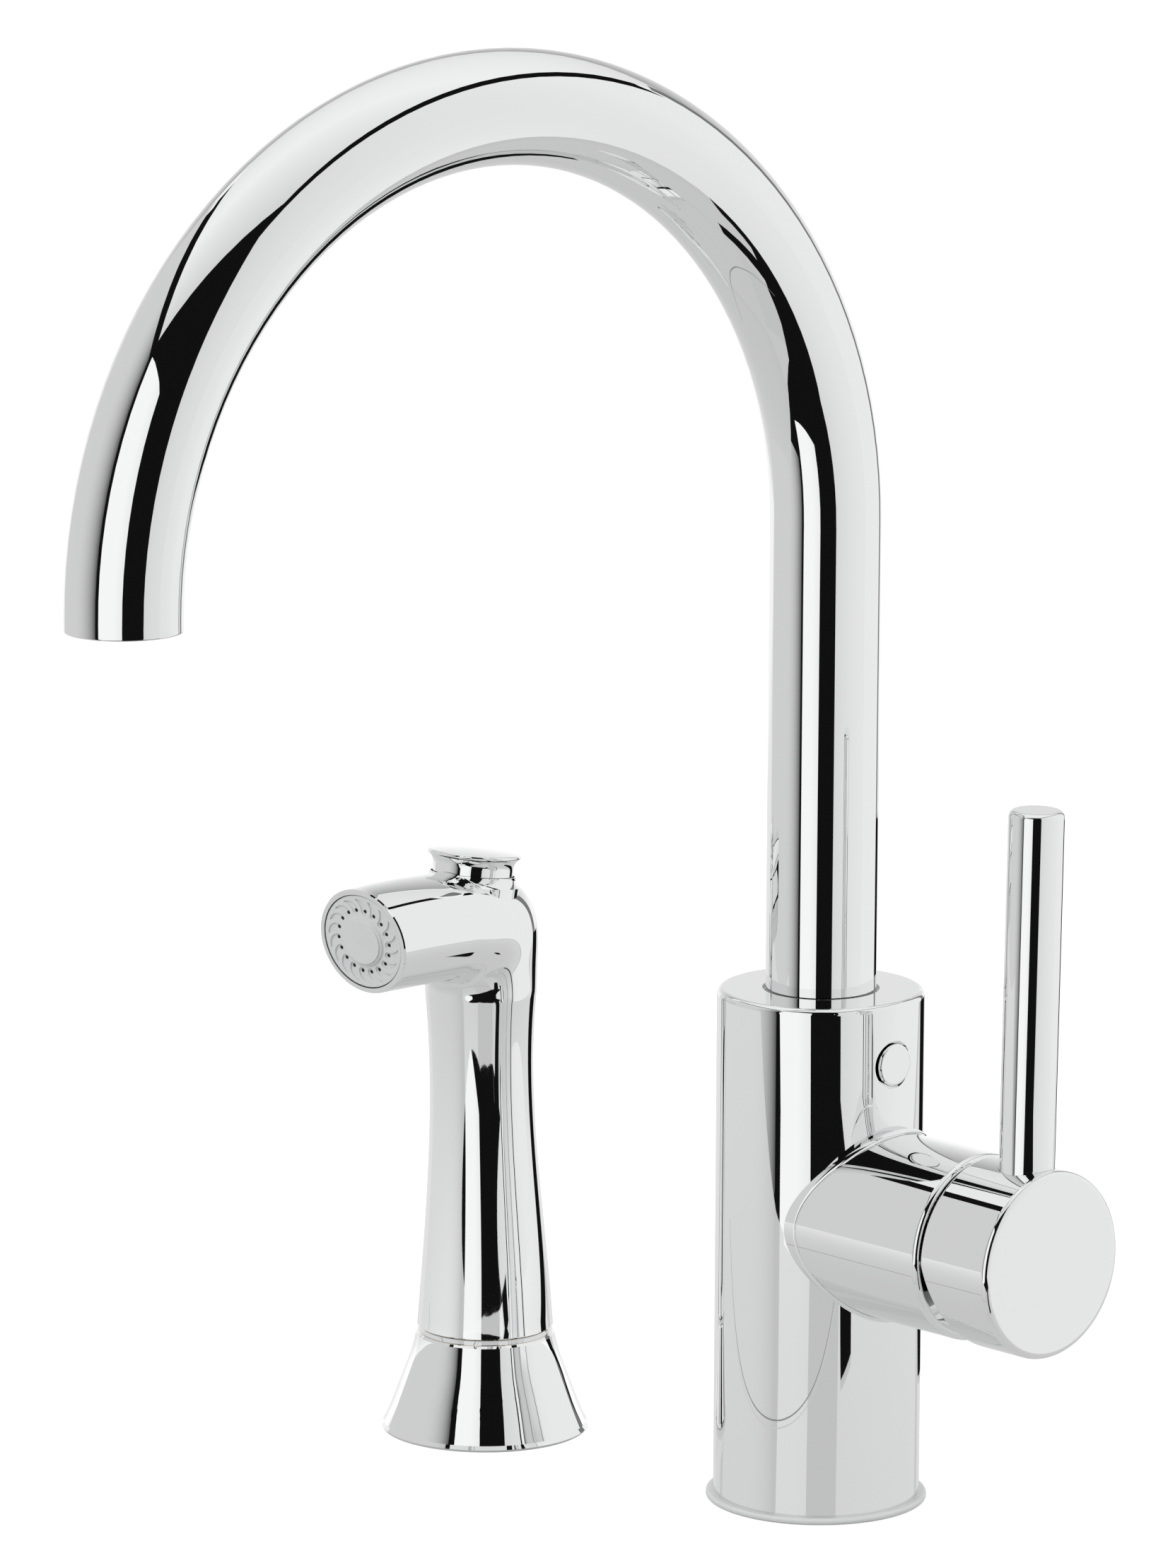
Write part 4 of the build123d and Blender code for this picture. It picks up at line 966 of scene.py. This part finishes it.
@dataclass
class FaucetBody:
    """The casting, its gasket, its spout bearings and the threads of its open ports."""

    thread_foot: float = 46.0 * MM
    pitch: float = 1.0 * MM
    port_radius: float = 4.5 * MM
    port_places: tuple[tuple[str, float, float], ...] = (
        ("front_inlet_thread", 8.0 * MM, -9.0 * MM),
        ("back_inlet_thread", 8.0 * MM, 9.0 * MM),
        ("spray_outlet_thread", -13.0 * MM, 0.0),
    )
    port_turns: int = 9
    stud_radius: float = 2.5 * MM
    stud_places: tuple[tuple[str, float, float], ...] = (
        ("front_stud_thread", -4.0 * MM, -15.0 * MM),
        ("back_stud_thread", -4.0 * MM, 15.0 * MM),
    )
    stud_turns: int = 11

    def build(self, wardrobe: Wardrobe) -> None:
        """Cut the threads and dress the fixed pieces."""
        bores = (
            (self.port_places, self.port_radius, self.port_turns),
            (self.stud_places, self.stud_radius, self.stud_turns),
        )
        for places, radius, turns in bores:
            for name, x, y in places:
                thread = Thread(name, x, y, self.thread_foot, radius, self.pitch, turns)
                wardrobe.dress(thread.build(), BRASS)
        wardrobe.dress(JunctionFillet().build(), CHROME_CAST)
        wardrobe.dress_nodes(CHROME_CAST, "faucet_body")
        wardrobe.dress_nodes(CHROME_TURNED, "spout_screw_cover")
        # The dome's darkened plating paints the shade in the gap round the handle cap.
        wardrobe.dress_nodes(GAP_SHADE_DOME, "valve_dome")
        wardrobe.dress_nodes(GREY_PLASTIC, "base_gasket", "spout_glide_ring")
        wardrobe.dress_nodes(WHITE_PLASTIC, "spout_thrust_washer")
        wardrobe.dress_nodes(STEEL, "spout_lock_screw")


@dataclass
class Spout:
    """The bent tube, its stem and the aerator in its tip."""

    def build(self, wardrobe: Wardrobe) -> None:
        """Dress the spout's pieces."""
        wardrobe.dress_nodes(CHROME_TUBE, "spout_tube")
        wardrobe.dress_nodes(BRASS, "spout_stem")
        wardrobe.dress_nodes(BLACK_RUBBER, "spout_seals", "aerator_washer")
        wardrobe.dress_nodes(WHITE_PLASTIC, "aerator_housing", "aerator_core")
        wardrobe.dress_nodes(STEEL, "aerator_screen")


@dataclass
class Cartridge:
    """The mixing cartridge in the valve housing."""

    def build(self, wardrobe: Wardrobe) -> None:
        """Dress the cartridge's pieces."""
        wardrobe.dress_nodes(
            WHITE_PLASTIC, "cartridge_base", "cartridge_shell", "cartridge_rotor", "disc_carrier"
        )
        wardrobe.dress_nodes(BLACK_RUBBER, "cartridge_port_seals")
        wardrobe.dress_nodes(CERAMIC, "fixed_disc", "moving_disc")
        wardrobe.dress_nodes(BRASS_NUT, "cartridge_nut")
        wardrobe.dress_nodes(STEEL, "spindle_pin", "mixer_spindle")


@dataclass
class Handle:
    """The cap over the cartridge and its lever."""

    def build(self, wardrobe: Wardrobe) -> None:
        """Dress the handle's pieces."""
        wardrobe.dress_nodes(CHROME_TURNED, "handle_cap", "lever_rod")
        wardrobe.dress_nodes(STEEL, "handle_grub_screw")
        wardrobe.dress_nodes(PLUG_PLASTIC, "handle_screw_plug")


@dataclass
class Diverter:
    """The diverter under the spout's stem."""

    def build(self, wardrobe: Wardrobe) -> None:
        """Dress the diverter's pieces."""
        wardrobe.dress_nodes(WHITE_PLASTIC, "diverter_cage", "diverter_piston")
        wardrobe.dress_nodes(BLACK_RUBBER, "piston_seal")
        wardrobe.dress_nodes(STEEL, "diverter_spring")


@dataclass
class HandSpray:
    """The holder on the deck, the wand that stands in it and the wand's valve."""

    x: float = SPRAY_AXIS[0] * MM
    y: float = SPRAY_AXIS[1] * MM
    hose_foot: float = 7.0 * MM
    hose_radius: float = 5.72 * MM
    hose_pitch: float = 1.34 * MM
    hose_turns: int = 6
    band_inside: float = 15.6
    band_radius: float = 16.42
    band_foot: float = 24.75
    band_top: float = 25.95
    band_edge: tuple[float, float] = (0.12, 0.15)
    collar_bore: float = 10.42
    collar_root: tuple[float, float] = (11.7, -4.2)
    collar_height: float = 2.6
    collar_arc: tuple[tuple[float, float], ...] = ((0.0, 11.9), (1.0, 11.12), (2.6, 10.85))
    collar_steps: int = 10

    def build(self, wardrobe: Wardrobe) -> None:
        """Build the holder's and the wand's own pieces and dress them all."""
        thread = Thread(
            "spray_hose_thread", self.x, self.y, self.hose_foot, self.hose_radius,
            self.hose_pitch, self.hose_turns, "hose_coupling", "brass",
        )
        wardrobe.dress(thread.build(), BRASS)
        wardrobe.dress(self._band().build(), CHROME_TURNED)
        shell = SprayShell()
        skin = shell.build()
        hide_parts("wand_shell")
        wardrobe.dress(skin, CHROME_CAST)
        wardrobe.dress(self._collar(shell).build(), CHROME_TURNED)
        # The near-black tips paint the shade inside the nozzle holes.
        wardrobe.dress(NozzleTips().build(shell), TIP_RUBBER_AND_HOLE_SHADE)
        wardrobe.dress_nodes(CHROME_TURNED, "spray_holder", "thumb_button")
        wardrobe.dress_nodes(CHROME_CAST, "wand_shell")
        wardrobe.dress_nodes(GREY_PLASTIC, "holder_gasket", "spray_face", "face_cap")
        wardrobe.dress_nodes(WHITE_PLASTIC, "holder_liner", "wand_end_ring", "wand_waterway")
        wardrobe.dress_nodes(BRASS, "hose_coupling")
        wardrobe.dress_nodes(BLACK_RUBBER, "coupling_seal", "face_seal", "valve_washer")
        wardrobe.dress_nodes(STEEL, "face_screw", "valve_stem", "button_spring")

    def _band(self) -> Turned:
        """Return the plated band round the coupling's flange, with its edges broken."""
        across, up = self.band_edge
        outline = [
            (self.band_inside, self.band_foot),
            (self.band_radius - across, self.band_foot),
            (self.band_radius, self.band_foot + up),
            (self.band_radius, self.band_top - up),
            (self.band_radius - across, self.band_top),
            (self.band_inside, self.band_top),
        ]
        origin, axis = Vector((self.x, self.y, 0.0)), Vector((0.0, 0.0, 1.0))
        return Turned("coupling_flange_band", origin, axis, outline, "hose_coupling")

    def _collar(self, shell: SprayShell) -> Turned:
        """Return the collar that stands round the button's bore.

        Args:
            shell: The shell whose top it stands on.

        Returns:
            The collar, ready to be turned.
        """
        steps = range(self.collar_steps + 1)
        rises = [self.collar_height * step / self.collar_steps for step in steps]
        outline = [
            (self.collar_bore, self.collar_root[1]),
            self.collar_root,
            *((through(self.collar_arc, rise), rise) for rise in rises),
            (self.collar_bore, self.collar_height),
        ]
        seat, axis = shell.button()
        return Turned("button_collar", seat, axis, outline, "spray_wand")


# ---- Studio ----------------------------------------------

DARK = 0.006


@dataclass
class Card:
    """A flat studio panel that only shows in reflections."""

    name: str
    corners: tuple[tuple[float, float, float], ...]
    level: float = DARK
    edge_level: float | None = None
    fade_start: float = 0.0
    fade_end: float = 1.0
    ease: float = 1.0
    mirror: float = 0.0
    mirror_index: float = 1.5
    mirror_roughness: float = 0.02

    def build(self, studio: "Studio") -> bpy.types.Object:
        """Build the panel in its place.

        Args:
            studio: The studio whose directions the corners are given in.

        Returns:
            The panel's object.
        """
        mesh = bmesh.new()
        verts = [mesh.verts.new(studio.place(corner)) for corner in self.corners]
        panel = mesh.faces.new(verts)
        panel.normal_update()
        if panel.normal.dot(studio.middle - panel.calc_center_median()) < 0:
            panel.normal_flip()
        card = add_object(self.name, mesh)
        layer = card.data.attributes.new("fade", "FLOAT", "POINT")
        for index in (1, 2):
            layer.data[index].value = 1.0
        card.data.materials.append(self._material())
        card.visible_camera = False
        card.visible_diffuse = False
        card.visible_shadow = False
        return card

    def _material(self) -> bpy.types.Material:
        """Return a glow that fades over the panel, with a weak mirror where asked."""
        material = bpy.data.materials.new(self.name)
        tree = bare_tree(material)
        fade = tree.add("ShaderNodeAttribute", attribute_name="fade")
        glow = tree.add("ShaderNodeEmission")
        along = tree.spread(fade.outputs["Fac"], 0.0, 1.0, self.fade_start, self.fade_end)
        eased = tree.maths("POWER", along, self.ease)
        edge_level = self.level if self.edge_level is None else self.edge_level
        strength = tree.spread(eased, self.level, edge_level)
        tree.link(strength, glow.inputs["Strength"])
        glow.inputs["Color"].default_value = WHITE
        shaders = [glow]
        if self.mirror:
            polish = tree.add("ShaderNodeBsdfGlossy")
            fresnel = tree.add("ShaderNodeFresnel")
            fresnel.inputs["IOR"].default_value = self.mirror_index
            shine = tree.maths("MULTIPLY", fresnel.outputs[0], self.mirror)
            tree.link(shine, polish.inputs["Color"])
            polish.inputs["Roughness"].default_value = self.mirror_roughness
            shaders.append(polish)
        tree.finish("ShaderNodeOutputMaterial", *shaders)
        return material


@dataclass
class Studio:
    """The pale floor, the light tent round the object, the lamps and the camera."""

    camera_place: tuple[float, float, float] = (1.30736, -1.30219, 0.54013)
    camera_right: tuple[float, float, float] = (0.68283, 0.73057, 0.00423)
    camera_up: tuple[float, float, float] = (-0.14440, 0.12928, 0.98104)
    camera_back: tuple[float, float, float] = (0.71617, -0.67049, 0.19377)
    lens: float = 180.695
    sensor: float = 36.0
    middle_height: float = 0.2
    lamp_target: tuple[float, float, float] = (0.0, -0.05, 0.15)
    floor_half: float = 6.0
    floor_glow: float = 0.66
    floor_colour: tuple[float, float, float, float] = (0.5, 0.5, 0.5, 1.0)
    sky_level: float = 0.8
    far_clip: float = 50.0

    def __post_init__(self) -> None:
        """Work out the level directions to the camera and to its right, and the middle."""
        back = Vector(self.camera_back)
        self.ahead = Vector((back.x, back.y, 0.0)).normalized()
        self.right = Vector((-self.ahead.y, self.ahead.x, 0.0))
        self.middle = Vector((0.0, 0.0, self.middle_height))

    def place(self, corner: tuple[float, float, float]) -> Vector:
        """Turn distances to the camera, to its right and up into a place."""
        return self.ahead * corner[0] + self.right * corner[1] + Vector((0, 0, corner[2]))

    def build(self) -> None:
        """Build the camera, the floor, the light tent, the world and the lamps."""
        self._camera()
        self._floor()
        self._world()
        for card in TENT:
            card.build(self)
        self._lamp("key_panel", (0.9, -1.1, 1.5), 1.2, 14.0)
        self._lamp("fill_panel", (0.3, 1.4, 1.1), 1.4, 8.0)
        bpy.context.scene.view_settings.view_transform = "Standard"

    def _camera(self) -> None:
        """Stand the camera where the picture was taken from."""
        data = bpy.data.cameras.new("camera")
        data.lens = self.lens
        data.sensor_width = self.sensor
        data.clip_end = self.far_clip
        camera = bpy.data.objects.new("camera", data)
        axes = (self.camera_right, self.camera_up, self.camera_back)
        turn = Matrix(axes).transposed().to_4x4()
        camera.matrix_world = Matrix.Translation(self.camera_place) @ turn
        bpy.context.scene.collection.objects.link(camera)
        bpy.context.scene.camera = camera

    def _floor(self) -> None:
        """Lay the pale floor."""
        mesh = bmesh.new()
        bmesh.ops.create_grid(mesh, x_segments=1, y_segments=1, size=self.floor_half)
        floor = add_object("floor", mesh)
        material = bpy.data.materials.new("pale_floor")
        tree = bare_tree(material)
        path = tree.add("ShaderNodeLightPath")
        glow = tree.add("ShaderNodeEmission")
        seen = tree.maths("MULTIPLY", path.outputs["Is Camera Ray"], self.floor_glow)
        tree.link(seen, glow.inputs["Strength"])
        matte = tree.add("ShaderNodeBsdfDiffuse")
        matte.inputs["Color"].default_value = self.floor_colour
        tree.finish("ShaderNodeOutputMaterial", glow, matte)
        floor.data.materials.append(material)
        floor.visible_glossy = False

    def _world(self) -> None:
        """Give a white background and an even soft light."""
        world = bpy.data.worlds.new("studio")
        bpy.context.scene.world = world
        tree = bare_tree(world)
        path = tree.add("ShaderNodeLightPath")
        seen = tree.maths("ADD", path.outputs["Is Camera Ray"], path.outputs["Is Glossy Ray"])
        seen = tree.maths("ADD", seen, path.outputs["Is Transmission Ray"], clamp=True)
        background = tree.add("ShaderNodeBackground")
        background.inputs["Color"].default_value = WHITE
        tree.link(tree.spread(seen, self.sky_level, 1.0), background.inputs["Strength"])
        tree.finish("ShaderNodeOutputWorld", background)

    def _lamp(
        self, name: str, corner: tuple[float, float, float], size: float, power: float
    ) -> None:
        """Hang a soft lamp that points at the object and isn't mirrored in it.

        Args:
            name: The lamp's name.
            corner: Its place towards the camera, to its right and up.
            size: Its side in metres.
            power: Its power in watts.
        """
        data = bpy.data.lights.new(name, "AREA")
        data.size = size
        data.energy = power
        lamp = bpy.data.objects.new(name, data)
        lamp.location = self.place(corner)
        aim = Vector(self.lamp_target) - lamp.location
        lamp.rotation_euler = aim.to_track_quat("-Z", "Y").to_euler()
        lamp.visible_glossy = False
        bpy.context.scene.collection.objects.link(lamp)


def wall(
    start: tuple[float, float], end: tuple[float, float], low: float, high: float
) -> tuple[tuple[float, float, float], ...]:
    """Return the corners of an upright panel from its foot's ends and its two heights."""
    return (*start, low), (*end, low), (*end, high), (*start, high)


def sheet(height: float, *corners: tuple[float, float]) -> tuple[tuple[float, float, float], ...]:
    """Return a level panel's corners at a height."""
    return tuple((*corner, height) for corner in corners)


# Panels of the light tent: distances towards the camera, to its right and up. A panel's
# level fades from its first side (corners 1 and 4) to its second (corners 2 and 3).
TENT = (
    Card(
        "right_wall",
        wall((0.552, 0.200), (-0.647, 0.522), -0.03, 0.73),
        level=0.74,
        edge_level=0.90,
        fade_end=0.5,
    ),
    Card(
        "left_wall",
        wall((-0.58, -0.58), (0.47, -0.58), -0.1, 0.74),
        level=0.68,
        edge_level=0.08,
        fade_start=0.60,
        ease=2.0,
    ),
    Card(
        "ceiling_front",
        sheet(0.826, (0.0, -0.57), (0.50, -0.57), (0.50, 0.20), (0.0, 0.34)),
        level=0.96,
        edge_level=0.72,
    ),
    Card(
        "ceiling_back",
        sheet(0.826, (0.0, -0.57), (-0.88, -0.57), (-0.88, 0.58), (0.0, 0.34)),
        level=0.96,
        edge_level=0.80,
    ),
    Card(
        "soft_box",
        wall((0.369, -0.390), (0.714, -0.158), -0.105, 0.578),
        level=1.02,
        edge_level=0.92,
        fade_start=0.5,
    ),
    Card(
        "table",
        sheet(
            -0.001,
            (0.16, -0.90),
            (-0.90, -0.90),
            (-0.90, 0.4955),
            (0.235, 0.191),
            (0.235, 0.06),
            (0.255, 0.0),
            (0.262, -0.09),
            (0.222, -0.20),
        ),
        level=0.585,
        mirror=0.80,
    ),
    Card(
        "table_foot",
        sheet(-0.03, (0.205, 0.217), (-0.647, 0.446), (-0.647, 0.522), (0.205, 0.293)),
        level=0.60,
    ),
    Card(
        "table_seam",
        sheet(0.0, (-0.125, -0.2688), (0.258, 0.0896), (0.259, 0.0885), (-0.124, -0.2699)),
        level=0.25,
    ),
    Card("dark_wedge", sheet(0.0005, (0.140, 0.056), (0.24, 0.09), (0.24, 0.155), (0.148, 0.095))),
    Card("dark_gap", sheet(0.0, (-0.095, 0.077), (-0.115, 0.042), (-0.80, 0.29), (-0.66, 0.535))),
    Card("dark_front", wall((0.95, -1.1), (0.95, 0.9), -0.6, 1.4)),
    Card("dark_left", wall((0.95, -0.75), (-0.62, -0.75), -0.6, 1.4)),
    Card("dark_right", wall((0.95, 0.22), (-0.66, 0.60), -0.6, 1.4)),
    Card("dark_corner", wall((-0.66, 0.535), (-0.79, 0.465), -0.6, 0.82), level=0.20),
    Card("dark_top", sheet(1.0, (-0.8, -0.8), (1.0, -0.8), (1.0, 0.8), (-0.8, 0.8))),
    Card("dark_below", sheet(-0.5, (1.0, -1.1), (-0.9, -1.1), (-0.9, 1.0), (1.0, 1.0))),
    Card(
        "back_wall_low",
        ((-1.0, -0.9, 0.12), (-1.0, -0.9, -0.3), (-1.0, 0.9, -0.3), (-1.0, 0.9, 0.12)),
        level=1.0,
        edge_level=0.9,
    ),
    Card(
        "back_wall_high",
        ((-1.0, -0.9, 0.12), (-1.0, -0.9, 0.9), (-1.0, 0.9, 0.9), (-1.0, 0.9, 0.12)),
        level=1.0,
        edge_level=0.40,
    ),
)


def main() -> None:
    """Dress every sub-assembly and build the studio round them."""
    logging.basicConfig(level=logging.INFO, format="%(message)s")
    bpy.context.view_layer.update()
    wardrobe = Wardrobe()
    for assembly in (FaucetBody(), Spout(), Cartridge(), Handle(), Diverter(), HandSpray()):
        LOG.info("-- %s", type(assembly).__name__)
        assembly.build(wardrobe)
    Studio().build()


if __name__ == "__main__":
    main()
